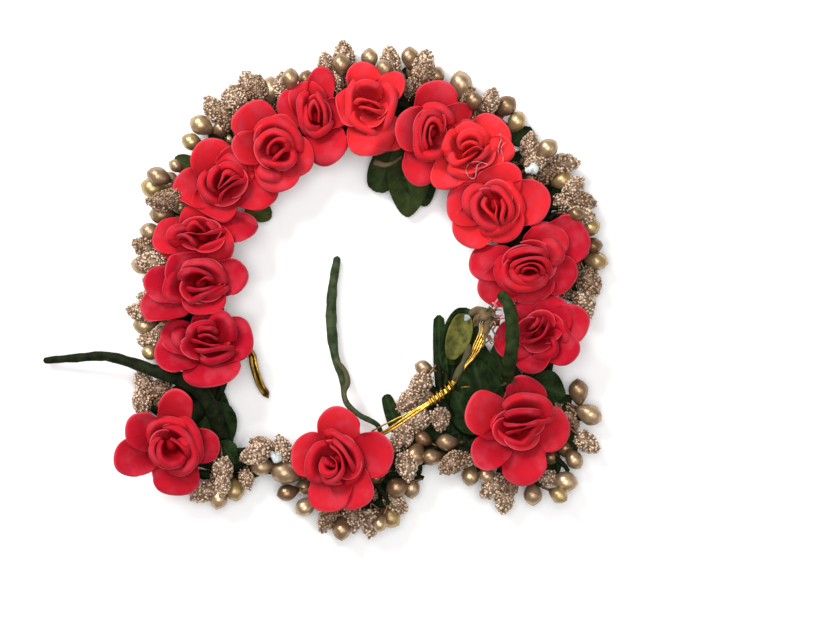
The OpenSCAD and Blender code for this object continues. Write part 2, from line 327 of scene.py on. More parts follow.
def roseCloth(name, depth):
    # mark is 1 at a petal's cut edge, tint is how orange the rose is and in part painted light: a low tint paints a
    # rose darker, as if it lay in shade
    f = Finish(name, shine=0.03)
    blotch, fibre = f.noise(cloth["blotch"], 2), f.noise(cloth["fibre"], 4)
    edge, orangeAndPaintedLight = f.mark("mark"), f.mark("tint")
    # from a dark red to a brighter orange: partly the rose's own hue, partly painted light and shade from rose to rose
    base = f.mix(orangeAndPaintedLight, cloth["red"], cloth["orangeAndPaintedLight"])
    base = f.mix(f.ranged(blotch, 0.30, 0.75) * 0.45 * depth, base, cloth["deep"])
    # pinkish patches, partly wear and partly a painted sheen
    wearAndSheen = f.ranged(blotch, 0.42, 0.72) * 0.32 + f.ranged(fibre, 0.50, 0.85) * 0.12
    base = f.mix(wearAndSheen, base, cloth["wearAndSheen"])
    base = f.mix(f.ranged(edge, 0.86, 0.10) * (0.9 - orangeAndPaintedLight * 0.45), base, cloth["deep"])      # painted shade in the hollows, darkest at each petal's foot, less on orange roses
    # a thin lighter line along the cut edge, partly fraying and partly a painted highlight
    base = f.mix(f.ranged(edge, 0.94, 1.0) * 0.4, base, cloth["rim"])
    return f.done(base, f.ranged(fibre, 0.2, 0.9, 0.66, 0.86), fibre, cloth["nap"])


gilt = {"light": (0.54, 0.38, 0.23), "bronze": (0.21, 0.112, 0.053), "dark": (0.040, 0.015, 0.006),
        "pink": (0.86, 0.65, 0.48), "yellow": (0.50, 0.36, 0.15), "brown": (0.13, 0.060, 0.028),
        "flow": 2.6, "dents": 0.30, "crumbs": 0.5}        # millimetres


def smoothGilt():
    # tint differs from bud to bud, from brown to pale and on to yellow; mark is 1 at the stalk, and also carries
    # painted shade on each bud's underside
    f = Finish("smooth_gilt", metallic=0.72)
    flow, tone = f.noise(gilt["flow"], 3, (1.0, 1.0, 1.6)), f.mark("tint")
    base = f.mix(f.ranged(tone, 0.0, 0.7), gilt["bronze"], gilt["light"])
    base = f.mix(f.ranged(tone, 0.72, 1.0) * 0.8, base, gilt["yellow"])
    base = f.mix(f.ranged(flow, 0.42, 0.80) * 0.6, base, gilt["brown"])
    # darker towards the stalk, and painted shade on the underside
    base = f.mix(f.mark("mark") * 0.85, base, gilt["dark"])
    return f.done(base, (0.26, 0.44), flow, gilt["dents"])


def sugarGilt():
    # tint differs from grain to grain; mark is painted shade in the gaps between the grains
    f = Finish("sugared_gilt", metallic=0.40, shine=0.6)
    tone = f.mark("tint")
    base = f.mix(tone, gilt["bronze"], gilt["pink"])
    base = f.mix(f.ranged(tone, 0.75, 1.0) * 0.5, base, gilt["light"])
    base = f.mix(f.mark("mark") * 0.80, base, gilt["dark"])
    return f.done(base, (0.26, 0.48), f.noise(gilt["crumbs"], 2), 0.05)


def stalkWire():
    f = Finish("gilt_stalk", metallic=0.75)
    fine = f.noise(0.8, 2)
    return f.done(f.mix(f.ranged(fine, 0.3, 0.7), gilt["dark"], gilt["bronze"]), (0.34, 0.5), fine, 0.04)


green = {"tape": (0.009, 0.017, 0.006), "tapeDark": (0.003, 0.006, 0.002), "tapeWorn": (0.026, 0.041, 0.017),
         "fresh": (0.026, 0.044, 0.012), "faded": (0.042, 0.070, 0.030), "brown": (0.17, 0.115, 0.060),
         "leaf": (0.015, 0.030, 0.008), "leafDark": (0.005, 0.011, 0.003), "leafPale": (0.036, 0.062, 0.020),
         "olive": (0.16, 0.15, 0.036), "oliveDark": (0.03, 0.032, 0.008),
         "tapeBlotch": 3.0, "crepe": 0.45, "leafBlotch": 3.5, "mottle": 2.4, "weave": 0.3}        # millimetres


def crepeTape(name, brown, tape=green["tape"]):
    # mark is painted shade, 1 in the groove between two turns of the tape, and the tape bound under the buds and roses
    # is evenly darker by a share of it; tint is how brown it is
    f = Finish(name, shine=0.04)
    blotch, crepe = f.noise(green["tapeBlotch"], 3), f.noise(green["crepe"], 3)
    base = f.mix(f.ranged(blotch, 0.30, 0.75), darker(tape, 0.4), tape)
    base = f.mix(f.ranged(crepe, 0.55, 0.85) * 0.4, base, green["tapeWorn"])
    # painted shade in the grooves between turns
    base = f.mix(f.mark("mark") * 0.7, base, green["tapeDark"])
    base = f.mix(f.ranged(blotch, 0.2, 0.8) * brown + f.mark("tint"), base, green["brown"])
    return f.done(base, (0.48, 0.7), crepe, 0.10)


def leafCloth():
    # mark is 1 along a pressed vein, tint is how olive the leaf is
    f = Finish("leaf_cloth", shine=0.03)
    blotch, weave = f.noise(green["leafBlotch"], 3), f.noise(green["weave"], 3)
    base = f.mix(f.ranged(blotch, 0.3, 0.7), green["leafDark"], green["leaf"])
    mottle = f.ranged(f.noise(green["mottle"], 4), 0.40, 0.75)
    mottled = f.mix(mottle * 0.8, green["olive"], green["oliveDark"])
    base = f.mix(f.mark("tint"), base, mottled)
    base = f.mix(f.mark("mark") * 0.45 + f.ranged(weave, 0.55, 0.9) * 0.2, base, green["leafPale"])
    return f.done(base, (0.42, 0.62), weave, 0.04)


gold = {"bright": (0.72, 0.43, 0.075), "deep": (0.38, 0.20, 0.03), "darkened": (0.055, 0.038, 0.008)}


def goldWire():
    # tint is how far it has dulled
    f = Finish("gold_wire", metallic=1.0)
    fine = f.noise(0.9, 2)
    base = f.mix(f.mark("tint"), f.mix(f.ranged(fine, 0.3, 0.7), gold["bright"], gold["deep"]), gold["darkened"])
    return f.done(base, (0.26, 0.40), fine, 0.03)


dried = {"thread": (0.75, 0.22, 0.24), "clear": (0.55, 0.60, 0.58)}


def driedGlue(name, colour):
    f = Finish(name, shine=0.4)
    cloud = f.noise(1.2, 3)
    return f.done(f.mix(f.ranged(cloud, 0.35, 0.65), colour, darker(colour, 0.45)), 0.35, cloud)


paper = {"low": (0.94, 0.94, 0.94), "high": (0.97, 0.97, 0.965)}


def plainPaper():
    f = Finish("pale_floor", shine=0.1)
    return f.done(f.mix(f.noise(4.0, 3), paper["low"], paper["high"]), 0.9)


petalFinish, heartFinish = roseCloth("rose_cloth", 0.7), roseCloth("rose_heart_cloth", 1.0)
smoothFinish, sugarFinish, stalkFinish = smoothGilt(), sugarGilt(), stalkWire()
tapeFinish, knotFinish = crepeTape("crepe_tape", 0.05), crepeTape("knotted_tape", 0.8)
freshFinish, fadedFinish = crepeTape("fresh_tape", 0.0, green["fresh"]), crepeTape("faded_tape", 0.1, green["faded"])
leafFinish, wireFinish = leafCloth(), goldWire()
threadFinish, glueFinish = driedGlue("glue_thread", dried["thread"]), driedGlue("glue", dried["clear"])
print("finishes made")


# Roses

hipHeight = 8.45       # of every rose's axis, over the surface
rose = {
    "radius": 15.5, "thick": 0.26,
    "tipRise": 0.36,              # how high the outer petals' tips are over the hip, to the radius
    "round": 5.6,                 # how far its end curves back at the sides
    "press": 1.2,                 # how softly a petal stops at its neighbour
    "drawn": 0.26,                # the foot of an inner petal, to the size of its rim
    "lip": 2.6, "crest": 2.2,     # how far its rim curls over, and how much that lifts it
    "sides": 3.4,                 # how far the rim falls at its ends
    "over": 0.8, "under": -1.2,   # how far past the middle the upper and the lower rose reach
    "climb": 0.35,                # how steeply the upper one's petals rise where they are pressed back
    "tuckFrom": 3.5, "tuckLength": 6.0, "tucked": 0.7, "tuckStop": 4.0,      # outer petals going under
    "heartFrom": 17,              # the least height of the inner petals that count as its heart
    "uneven": 0.07,               # how much its petals differ in colour
}
cup = {"petals": 4, "half": 1.04, "foot": (0.14, 0.16), "rim": (0.78, 0.40), "step": 0.11, "drop": 0.3}
hipOutline = [(0.3, -3.0), (1.1, -2.6), (1.5, -1.2), (2.3, 0.2), (2.6, 0.9), (1.6, 1.3), (0.4, 1.3)]
# hip: where it stands on the core. heart: its middle as seen from above. cup: the two radii of its
# low inner cup, in millimetres, the first one along fold, in degrees. level: a rose lies over a
# neighbour of lower level. tips: the ends of its outer petals, with their widths. folds: its inner
# petals, each the height of its rim in millimetres and then the places that the rim passes over.
# hip, heart, tips and folds are pixels of the photograph.
# orange is how orange a rose is, and in part painted light: a lower value paints the rose darker, as if it lay in
# shade
roses = [
    {"hip": (206, 347), "heart": (209, 337), "cup": (9.2, 7.2), "fold": 0, "level": 0, "orangeAndPaintedLight": 0.00,
     "tips": "254,337,46 215,387,58 156,358,42 160,334,36 214,308,40",
     "folds": "15.5 178,324 172,333 173,343 179,351 187,357 / 16.5 205,318 214,312 224,311 232,317 237,328 239,342 / "
              "17 187,343 187,332 192,324 201,320 211,320 219,325 / 16.5 196,361 201,364 214,364 227,360 238,352 / "
              "17.8 192,353 203,353 216,351 229,350 239,350 / 18.6 189,341 199,343 212,347 225,348 / "
              "19 195,330 202,326 212,326 220,331 / 19.4 197,336 205,334 214,335 221,339"},
    {"hip": (199, 285), "heart": (203, 281), "cup": (9.0, 8.4), "fold": 8, "level": 1, "orangeAndPaintedLight": 0.10,
     "tips": "248,273,36 207,317,44 144,319,40 144,285,38 172,253,48",
     "folds": "16.8 168,268 164,279 163,291 168,301 180,307 / 16 178,262 192,259 206,259 218,264 227,273 230,284 / "
              "17.5 176,281 179,273 188,268 198,268 208,272 216,277 / 18.6 198,284 202,279 209,277 216,280 / "
              "17.8 184,290 194,292 206,291 219,289 / 17 230,288 215,294 203,299 192,305 185,302 184,296 / "
              "15.5 234,289 222,295 210,301 201,305"},
    {"hip": (206, 237), "heart": (197, 233), "cup": (9.2, 6.4), "fold": 5, "level": 0, "orangeAndPaintedLight": 0.20,
     "tips": "256,223,30 231,256,40 160,251,34 151,236,38 196,200,40",
     "folds": "15.5 172,250 167,240 168,230 175,225 184,223 / 16 241,239 228,242 215,247 205,251 197,256 / "
              "17.5 180,237 190,234 205,236 219,233 233,232 / 18.5 186,231 190,224 196,221 203,226 208,231 / "
              "17.5 208,219 214,223 219,229 222,233 / 17 176,242 181,238 189,240 194,249"},
    {"hip": (225, 185), "heart": (223, 186), "cup": (9.2, 7.6), "fold": 30, "level": 1, "orangeAndPaintedLight": 0.30,
     "tips": "204,141,44 173,190,42 205,221,46 276,195,38 248,148,40",
     "folds": "15.5 212,158 224,153 236,156 244,164 251,174 / 16 204,168 198,177 197,187 202,197 210,204 219,208 / "
              "16.6 216,166 224,162 234,163 242,168 248,175 / 17.6 220,163 212,169 208,178 208,189 213,194 / "
              "17 254,178 244,183 234,187 226,192 222,199 222,207 / 18.6 240,176 231,170 224,172 221,180 217,189 / "
              "19.2 243,177 233,181 225,186 219,191"},
    {"hip": (272, 149), "heart": (277, 149), "cup": (9.2, 7.6), "fold": 120, "level": 2, "orangeAndPaintedLight": 0.42,
     "tips": "242,105,46 230,147,34 279,192,44 313,162,42 284,114,38",
     "folds": "15.5 247,142 252,132 259,122 270,117 284,119 296,127 304,139 307,152 / "
              "16.8 251,152 256,141 263,132 273,128 284,131 292,137 298,146 / "
              "17.4 295,147 298,155 296,163 289,168 278,168 267,167 257,163 / "
              "15.5 254,166 256,174 263,180 273,183 284,182 / "
              "18.5 266,156 267,148 272,141 279,138 287,140 290,146 290,153 / 19.4 274,165 278,159 284,153 289,149"},
    {"hip": (317, 119), "heart": (317, 113), "cup": (8.0, 5.0), "fold": 100, "level": 0, "orangeAndPaintedLight": 0.35,
     "tips": "323,65,27 298,83,38 277,99,36 333,164,42 352,110,30",
     "folds": "16 303,138 299,124 297,108 299,95 306,87 / 17.6 318,88 322,97 326,110 328,122 327,129 / "
              "16.5 302,112 303,124 307,133 315,138 324,135 331,129 336,121 / "
              "18 303,104 304,118 307,128 315,132 322,130 / 19 309,122 308,110 311,102 316,101 319,110 320,124"},
    {"hip": (371, 110), "heart": (369, 100), "cup": (9.4, 7.0), "fold": 88, "level": 1, "orangeAndPaintedLight": 0.75,
     "ruffle": 2.6, "tips": "361,61,36 334,107,46 372,157,48 396,150,34 402,75,32",
     "folds": "16 352,76 346,90 345,105 345,120 349,132 / 16.5 384,80 393,86 398,98 395,112 391,124 386,138 / "
              "17 351,86 358,81 370,80 381,84 386,92 / 18.5 351,104 358,99 368,101 378,103 386,108 / "
              "18 357,108 366,110 376,114 388,117 / 17 347,110 350,122 357,129 366,133 376,139 385,138 / "
              "15.5 343,137 352,144 363,150 374,152 384,147"},
    {"hip": (430, 130), "heart": (431, 134), "cup": (8.8, 6.2), "fold": 82, "level": 2, "orangeAndPaintedLight": 0.45,
     "tips": "440,80,42 396,125,46 416,184,38 466,160,40 477,113,36",
     "folds": "16 417,108 424,104 435,103 446,106 454,113 459,121 / "
              "16.5 420,110 415,118 413,132 413,147 416,158 424,163 437,163 / "
              "18 421,156 418,142 418,128 422,115 430,110 440,112 447,119 / "
              "19 425,152 423,139 425,125 430,118 437,118 443,124 445,133 / 17.4 420,157 429,160 439,159 448,154 / "
              "19.4 430,148 429,138 431,127 435,124"},
    {"hip": (473, 157), "heart": (468, 149), "cup": (8.4, 7.8), "lip": 3.6, "fold": 20, "level": 3, "orangeAndPaintedLight": 0.95,
     "ruffle": 2.0, "tips": "505,121,44 514,150,30 480,200,40 434,184,38 462,118,36",
     "folds": "16 447,164 442,152 441,140 446,130 455,126 / 17 453,127 466,122 480,126 489,134 490,146 / "
              "16 493,133 500,140 499,152 495,160 / 17.5 497,146 489,153 482,161 472,166 / "
              "18 447,152 449,163 455,167 464,164 472,158 480,152 / 15.8 444,164 448,172 456,177 467,179 477,176 / "
              "19 457,150 456,141 460,134 468,130 477,131 483,137 484,147 / "
              "19.8 459,150 462,144 470,141 478,143 481,149 / 20.2 462,158 468,152 476,149 484,151"},
    {"hip": (497, 205), "heart": (493, 207), "cup": (9.2, 8.4), "fold": 95, "level": 4, "orangeAndPaintedLight": 0.55,
     "tips": "503,160,44 549,200,46 512,241,44 459,241,44 445,204,42",
     "folds": "15.5 468,220 463,210 462,199 465,190 473,184 482,179 / "
              "15.5 503,178 511,179 517,188 523,200 525,213 521,224 / "
              "17 478,187 471,198 470,210 474,221 483,229 495,232 505,230 / "
              "18 490,184 500,187 508,195 514,207 513,219 507,228 / 15 478,234 488,237 500,235 511,229 525,225 / "
              "19 484,196 481,205 485,213 491,219 496,226 / 19.6 495,199 497,208 497,217 499,227 / "
              "18.8 504,198 505,208 504,218 506,227"},
    {"hip": (527, 262), "heart": (531, 266), "cup": (10.8, 8.4), "fold": 4, "level": 3, "orangeAndPaintedLight": 0.20,
     "tips": "587,228,50 577,281,42 530,304,50 482,300,42 468,262,36 560,226,44",
     "folds": "15.5 496,251 493,262 494,276 500,288 512,298 522,294 / 16 544,236 555,240 562,248 565,258 560,268 / "
              "17 503,262 506,254 518,249 533,247 546,250 550,258 / "
              "18 508,274 510,264 519,259 532,257 545,259 552,266 553,275 / "
              "17.5 499,262 498,272 503,284 515,291 530,291 545,286 553,276 / "
              "18.4 507,270 512,280 522,286 536,286 548,280 / 19 514,275 516,267 526,263 538,264 545,270 544,277 / "
              "19.5 515,279 523,283 533,282 541,276 / 20 521,275 525,270 533,269 538,274"},
    {"hip": (541, 333), "heart": (537, 332), "cup": (8.8, 7.6), "fold": 35, "level": 2, "orangeAndPaintedLight": 0.10,
     "tips": "588,319,40 576,358,36 528,373,36 494,345,40 530,296,50 565,301,42",
     "folds": "15.5 553,318 562,319 569,330 571,342 566,350 / 16 544,338 554,336 559,346 556,355 545,360 532,362 / "
              "18.5 519,336 530,334 540,327 547,315 / 17.5 519,345 530,343 542,337 550,327 552,320 / "
              "19 527,328 534,323 538,316"},
    {"hip": (514, 431), "heart": (522, 427), "cup": (10.2, 7.8), "fold": 2, "level": 3, "orangeAndPaintedLight": 0.20,
     "tips": "531,377,44 466,405,46 474,462,36 527,485,46 570,430,46",
     "folds": "15 490,410 488,424 497,437 510,445 523,448 530,443 537,433 548,425 / "
              "17.5 499,404 507,397 522,392 540,394 551,402 557,414 / "
              "16.8 504,436 514,432 526,428 540,424 552,422 557,415 / 19 501,414 510,409 528,407 545,411 / "
              "18.5 502,421 508,423 520,424 532,421 543,417"},
    {"hip": (342, 461), "heart": (337, 458), "cup": (9.4, 8.8), "fold": 115, "level": 3, "orangeAndPaintedLight": 0.30,
     "tips": "338,407,42 291,452,46 323,512,42 363,508,40 394,452,46",
     "folds": "16 321,428 332,427 346,436 357,446 363,459 362,470 357,482 347,491 / "
              "17 324,438 314,443 307,454 305,467 308,479 318,488 / 18 333,436 342,445 350,455 356,466 357,474 / "
              "19 330,442 339,450 344,461 345,471 339,480 328,484 319,478 / "
              "19.5 321,456 319,465 322,473 330,476 338,471 337,461 330,455 / 20 321,458 326,463 332,467 337,468"},
    {"hip": (169, 443), "heart": (174, 449), "cup": (9.2, 8.6), "fold": 140, "level": 3, "orangeAndPaintedLight": 0.15,
     "tips": "178,388,34 127,422,38 115,462,40 178,497,46 220,446,36",
     "folds": "15.5 142,444 144,430 152,420 166,416 180,418 192,424 200,434 / "
              "16 178,412 190,418 199,430 204,444 204,458 198,468 / "
              "17 160,423 172,423 184,429 193,438 199,450 200,460 193,471 181,477 166,474 / "
              "18 158,434 151,441 149,451 153,461 162,468 173,471 / 18.5 171,436 181,442 189,450 192,458 / "
              "18 181,436 189,442 195,450 / 19 160,438 157,448 160,460 170,467 182,466 189,458"},
]


def settled(grid, index, outer):
    # Where a rose meets its neighbours its petals fold up against them, or its outer ones go under.
    here = fromPhoto(*roses[index]["heart"])
    grid = grid.copy()
    for other in ((index + 1) % len(roses), index - 1):
        there = fromPhoto(*roses[other]["heart"])
        away = unit(there - here)
        over = roses[index]["level"] > roses[other]["level"]
        past = (grid[..., :2] - (here + there) / 2) @ away
        stop = rose["over" if over else "under"]
        if outer and not over:
            share = np.clip((past + rose["tuckFrom"]) / rose["tuckLength"], 0, 1)
            grid[..., 2] += share ** 1.5 * np.minimum(hipHeight + rose["tucked"] - grid[..., 2], 0)
            stop = np.linalg.norm(there - here) / 2 - rose["tuckStop"]
        beyond = np.maximum(past - stop, 0)
        moved = beyond - rose["press"] * (1 - np.exp(-beyond / rose["press"]))
        grid[..., :2] -= moved[..., None] * away
        grid[..., 2] += moved * (rose["climb"] if over else 0.0)
    return grid


def roseFrame(spec):
    # The hip, and the matrix whose rows are the leaning rose's own axes.
    hip = np.array([*fromPhoto(*spec["hip"]), hipHeight])
    lean = (fromPhoto(*spec["heart"]) - hip[:2]) / (0.62 * rose["radius"])
    up = unit(np.array([*lean, 1.0]))
    right = unit(np.cross([0, 1, 0], up))
    return hip, np.array([right, np.cross(up, right), up])


def ripple(rng, u, s, size):
    a, b = rng.uniform(0, 2 * math.pi, 2)
    return size * s ** 3 * (np.sin(2.2 * u + a) + 0.6 * np.sin(5.1 * u + b))


def petalGrid(rows, columns):
    # s runs from a petal's foot to its rim, u from side to side
    return np.meshgrid(np.linspace(0, 1, rows), np.linspace(-1, 1, columns), indexing="ij")


def outerPetal(rng, spec, tip, width):
    # A broad round petal that spreads from the hip, in the rose's own axes.
    r, reach = rose["radius"], math.hypot(tip[0], tip[1])
    s, u = petalGrid(14, 21)
    along = reach * 0.04 + s * (0.96 * reach - rose["round"] * (1 - np.cos(1.5 * u))) + ripple(rng, u, s, 0.3)
    across = width * np.sin(1.5 * u) * (0.22 + 0.78 * np.sin(math.pi / 2 * np.minimum(1, s / 0.66)))
    rise = r * (0.10 + rose["tipRise"] * s ** 1.5 - 0.12 * s ** 7) + 0.07 * r * u ** 2 * s
    rise = rise - 0.9 * (u * s) ** 4 + 0.6 * u * s + ripple(rng, u, s, 0.38 * spec["ruffle"])
    return np.stack([*swung(along, across, math.atan2(tip[1], tip[0])), rise], 2), s


def cupPetal(rng, spec, angle):
    # A petal wrapped round the axis, with one edge outside the next petal and the other inside, in the
    # rose's own axes. foot and rim are a share of the radii and of the height, drop is how far the rim
    # falls at its sides.
    s, u = petalGrid(8, 15)
    t = s * (1 - cup["drop"] * np.abs(u) ** 2.4)
    (near, low), (far, high) = cup["foot"], cup["rim"]
    radius = near + (far * rng.uniform(0.95, 1.05) - near) * t ** 0.62 + 0.06 * t ** 9 + cup["step"] * u * s
    radius = radius * (1 + 0.05 * np.sin(2 * u + rng.uniform(0, 6)))
    rise = rose["radius"] * (low + (high * rng.uniform(0.95, 1.05) - low) * t ** 1.25) - 0.35 * t ** 12
    rise = rise + ripple(rng, u, s, 0.20 * spec["ruffle"])
    turn = angle + cup["half"] * u * (0.84 + 0.16 * s)
    x, y = radius * np.cos(turn) + rng.normal(0, 0.03), radius * np.sin(turn) + rng.normal(0, 0.03)
    return np.stack([*swung(x * spec["cup"][0], y * spec["cup"][1], math.radians(spec["fold"])), rise], 2), s


def foldedPetal(rng, spec, height, rim):
    # An inner petal under its rim. From a foot drawn in towards the hip it swells, rises and curls over.
    s, u = petalGrid(14, 25)
    rim = evenly(spline(rim, 10), 0.3)[0]
    rim = rim[np.linspace(0, len(rim) - 1, u.shape[1]).round().astype(int)]
    heart, hip = fromPhoto(*spec["heart"]), fromPhoto(*spec["hip"])
    along = unit(np.gradient(rim, axis=0))
    away = np.column_stack([along[:, 1], -along[:, 0]])
    away = away * (1 if (away * (rim - heart)).sum() > 0 else -1)
    ends = u[0] ** 4
    lip = np.minimum(spec["lip"], 0.45 * np.linalg.norm(rim - heart, axis=1)) * (1 - 0.5 * ends)
    lip = lip[:, None] * away
    rim = rim + 0.10 * ends[:, None] * (heart - rim)
    foot = 0.7 * hip + 0.3 * heart + rose["drawn"] * (rim - heart)
    top = height - rose["sides"] * np.abs(u) ** 2.6
    low = hipHeight + 0.17 * rose["radius"]
    a, b, c, d = (1 - s) ** 3, 3 * s * (1 - s) ** 2, 3 * s ** 2 * (1 - s), s ** 3
    flat = (a[..., None] * foot + b[..., None] * (foot + 0.72 * (rim - foot)) + c[..., None] * (rim - 1.2 * lip)
            + d[..., None] * rim + ripple(rng, u, s, 0.16)[..., None] * away)
    rise = a * low + b * (low + 0.3 * (top - low)) + c * (top + rose["crest"]) + d * (top - 1.0)
    return np.dstack([flat, rise + ripple(rng, u, s, 0.15 * spec["ruffle"])]), s


def buildRose(index):
    spec = {"ruffle": 1, "lip": rose["lip"], **roses[index]}
    rng = np.random.default_rng(100 + index)
    hip, axes = roseFrame(spec)
    r = rose["radius"]
    petals, heart = Heap(), Heap()

    def place(heap, grid, s, outer=False):
        points, faces = shell(settled(grid, index, outer), rose["thick"])
        # mark runs from 0 at a petal's foot, where the painted shade of the hollows is darkest, to 1 at its rim
        heap.add(points, faces, 0, np.tile(s.ravel(), 2), spec["orangeAndPaintedLight"] + rng.normal(0, rose["uneven"]))

    for tip in spec["tips"].split():
        x, y, wide = map(float, tip.split(","))
        flat = fromPhoto(x, y) - hip[:2]
        rise = (rose["tipRise"] * r - axes[2, :2] @ flat) / axes[2, 2]      # puts the tip at its own height
        sheet, s = outerPetal(rng, spec, axes @ np.array([*flat, rise]), wide / 2 * view["pixel"])
        place(petals, hip + sheet @ axes, s, True)
    first = rng.uniform(0, 2 * math.pi)
    for angle in ringOf(cup["petals"]):          # hidden but for the hollows between the inner petals
        sheet, s = cupPetal(rng, spec, first + angle + rng.normal(0, 0.12))
        place(petals, hip + sheet @ axes, s)
    for fold in spec["folds"].split(" / "):
        height, rim = fold.split(" ", 1)
        place(petals if float(height) < rose["heartFrom"] else heart,
              *foldedPetal(rng, spec, float(height), pixels(rim)))
    points, faces = lathe(hipOutline, 14)
    petals.add(hip + points @ axes, faces, 1)
    points, faces = lathe([(1.2, 1.2), (2.2, 3.0), (1.5, 0.36 * r), (0.5, 0.42 * r)], 12)
    # the plug in the middle has mark 0.1, which gives it the full painted shade of the hollows
    heart.add(hip + points @ axes, faces, 0, 0.1, spec["orangeAndPaintedLight"])
    name = "rose_%02d" % (index + 1)
    makePiece(name + "_cup", petals, [petalFinish, tapeFinish], [name + "_petals"])
    makePiece(name + "_roll", heart, [heartFinish], [name + "_heart"])


for index in range(len(roses)):
    buildRose(index)
print("roses made")


# Core

coreRoute = [
    (-56, -44), (-47, -31), (-45, -14), (-49, 3), (-46, 18), (-38, 33), (-25, 44),
    (-11, 52), (5, 54), (20, 49), (33, 40), (42, 26), (50, 9), (53, -9),
    (52, -27), (45, -42), (28, -47), (10, -50), (-8, -51), (-27, -50), (-44, -51)]
core = {
    "half": 3.45, "halfHeight": 2.85, "turnLength": 4.6, "ridge": 0.28, "sides": 22, "gap": 0.55,
    # each rose's own stalk: how far past the core's side, and how high, it lies at steps along the core
    "bed": [(-2.0, 7.5), (0.4, 6.0), (0.9, 4.6), (0.5, 4.0), (-0.4, 3.6)], "bedStep": 8,
}


def wound(turns, around):
    # How high the tape stands, 0 in the groove where a turn starts, and how much of a groove it is, which the tape's
    # finish darkens as painted shade.
    phase = (turns[:, None] + around / (2 * math.pi)) % 1
    ridge = np.minimum(phase / 0.16, 1) * (1 - 0.75 * phase)
    return ridge, np.clip(1 - 2.2 * ridge, 0, 1)


def buildCore():
    flat = spline([(x, y, 0) for x, y in coreRoute], 24, True)
    path, along = evenly(np.concatenate([flat, flat[:1]]), core["gap"])
    path, along = path[:-1], along[:-1]
    forward = unit(np.roll(path, -1, 0) - np.roll(path, 1, 0))
    out = np.column_stack([-forward[:, 1], forward[:, 0], np.zeros(len(path))])
    angle = ringOf(core["sides"])
    turns = round(along[-1] / core["turnLength"])
    ridge, grooveShade = wound(along * turns / (along[-1] + core["gap"]), angle)
    lump = 0.18 * np.sin(along[:, None] * 0.21 + 2 * angle) + 0.12 * np.sin(along[:, None] * 0.53 - 3 * angle)
    grow = core["ridge"] * (ridge - 0.5) + lump
    rings = path[:, None] - ((core["half"] + grow) * np.cos(angle))[..., None] * out[:, None]
    rings[..., 2] = np.maximum(core["halfHeight"] + 0.15 + (core["halfHeight"] + grow) * np.sin(angle), 0.03)
    index = np.arange(ridge.size).reshape(ridge.shape)
    nextRing = np.roll(index, -1, 0)
    faces = np.stack([index, np.roll(index, -1, 1), np.roll(nextRing, -1, 1), nextRing], 2)
    heap = Heap()
    heap.add(rings, faces.reshape(-1, 4).tolist(), 0, grooveShade)
    for spec in roses:      # each rose's own stalk is bound down along both sides of it
        nearest = np.linalg.norm(path[:, :2] - fromPhoto(*spec["hip"]), axis=1).argmin()
        for side in (1, -1):
            bed = []
            for k, (past, high) in enumerate(core["bed"]):
                at = (nearest + side * core["bedStep"] * k) % len(path)
                bed.append(path[at] + side * (core["half"] + past) * out[at] + [0, 0, high])
            route = spline(bed, 6)
            heap.add(*tube(route, np.linspace(1.7, 0.8, len(route)), 9), 0, 0.5)
    makePiece("core_winding", heap, [tapeFinish], ["core"])


buildCore()
print("core made")


# Buds and leaves

leaf = {"thick": 0.32, "fold": 0.20, "droop": 1.5, "veins": 7, "slant": 0.28, "midrib": 0.10, "relief": 0.15,
        "wave": 0.30}


def addLeaf(heap, rng, foot, heading, rise, long, wide, olive, finish=0, blunt=0.75, curl=0.0, fine=(34, 15)):
    # One cut leaf; heading and rise in degrees. A low blunt keeps its sides parallel, curl lifts them.
    t, s = petalGrid(*fine)
    half = 0.3 + (wide / 2 - 0.3) * np.sin(math.pi * t ** 0.8) ** blunt
    vein = np.abs(((t - leaf["slant"] * np.abs(s) * wide / long) * leaf["veins"]) % 1 - 0.5) * 2
    line = np.maximum(np.clip(1 - 4.0 * (1 - vein), 0, 1) * 0.8, np.exp(-(s / leaf["midrib"]) ** 2))
    z = (leaf["fold"] + curl) * np.abs(s) ** 1.6 * half - leaf["droop"] * t ** 2 + leaf["relief"] * line
    z = z + leaf["wave"] * np.abs(s) ** 3 * np.sin(11 * t + 3 * np.sign(s) + rng.uniform(0, 6))
    heading = math.radians(heading)
    forward = pointing(heading, math.radians(rise))
    across = np.array([-math.sin(heading), math.cos(heading), 0])
    y = s * half + 0.02 * long * np.sin(math.pi * t)
    grid = np.array(foot) + (long * t)[..., None] * forward + y[..., None] * across \
        + z[..., None] * np.cross(forward, across)
    grid[..., 2] = np.maximum(grid[..., 2], leaf["thick"] / 2 + 0.05)
    points, faces = shell(grid[:, ::-1], leaf["thick"])
    heap.add(points, faces, finish, np.tile(line[:, ::-1].ravel(), 2), olive)


buds = {
    "smoothLong": 7.6, "smoothWide": 5.6, "sugarLong": 8.4, "sugarWide": 5.9,
    "grain": 0.43, "grains": 215, "spiral": 2.39996,       # from one grain to the next, round the bud
    "small": 0.78, "edge": 0.8,                            # a small bud's size, how dark the painted shade on a bud's underside is
    "apart": 4.6, "offCore": 5.9,                          # the least room round a bud
    "levels": (5.6, 6.8, 8.0, 9.2, 10.6, 12.0, 13.4),      # heights that it may take
    # the two buds behind each one: their size, how far out they stand, and their heights
    "filler": 0.82, "fillerReach": (0.50, 0.74), "under": (3.2, 4.2, 5.2), "underInside": (9.0,),
    "stalk": 0.42, "stalkGap": 0.57, "leafReach": 0.88, "leafWide": 6.5, "leafDrop": 1.6,
    "bar": 4.6, "barHeight": 3.2, "barHeightInside": 7.0, "barRadius": 1.5, "barPast": 3.0, "barGap": 1.7,
}
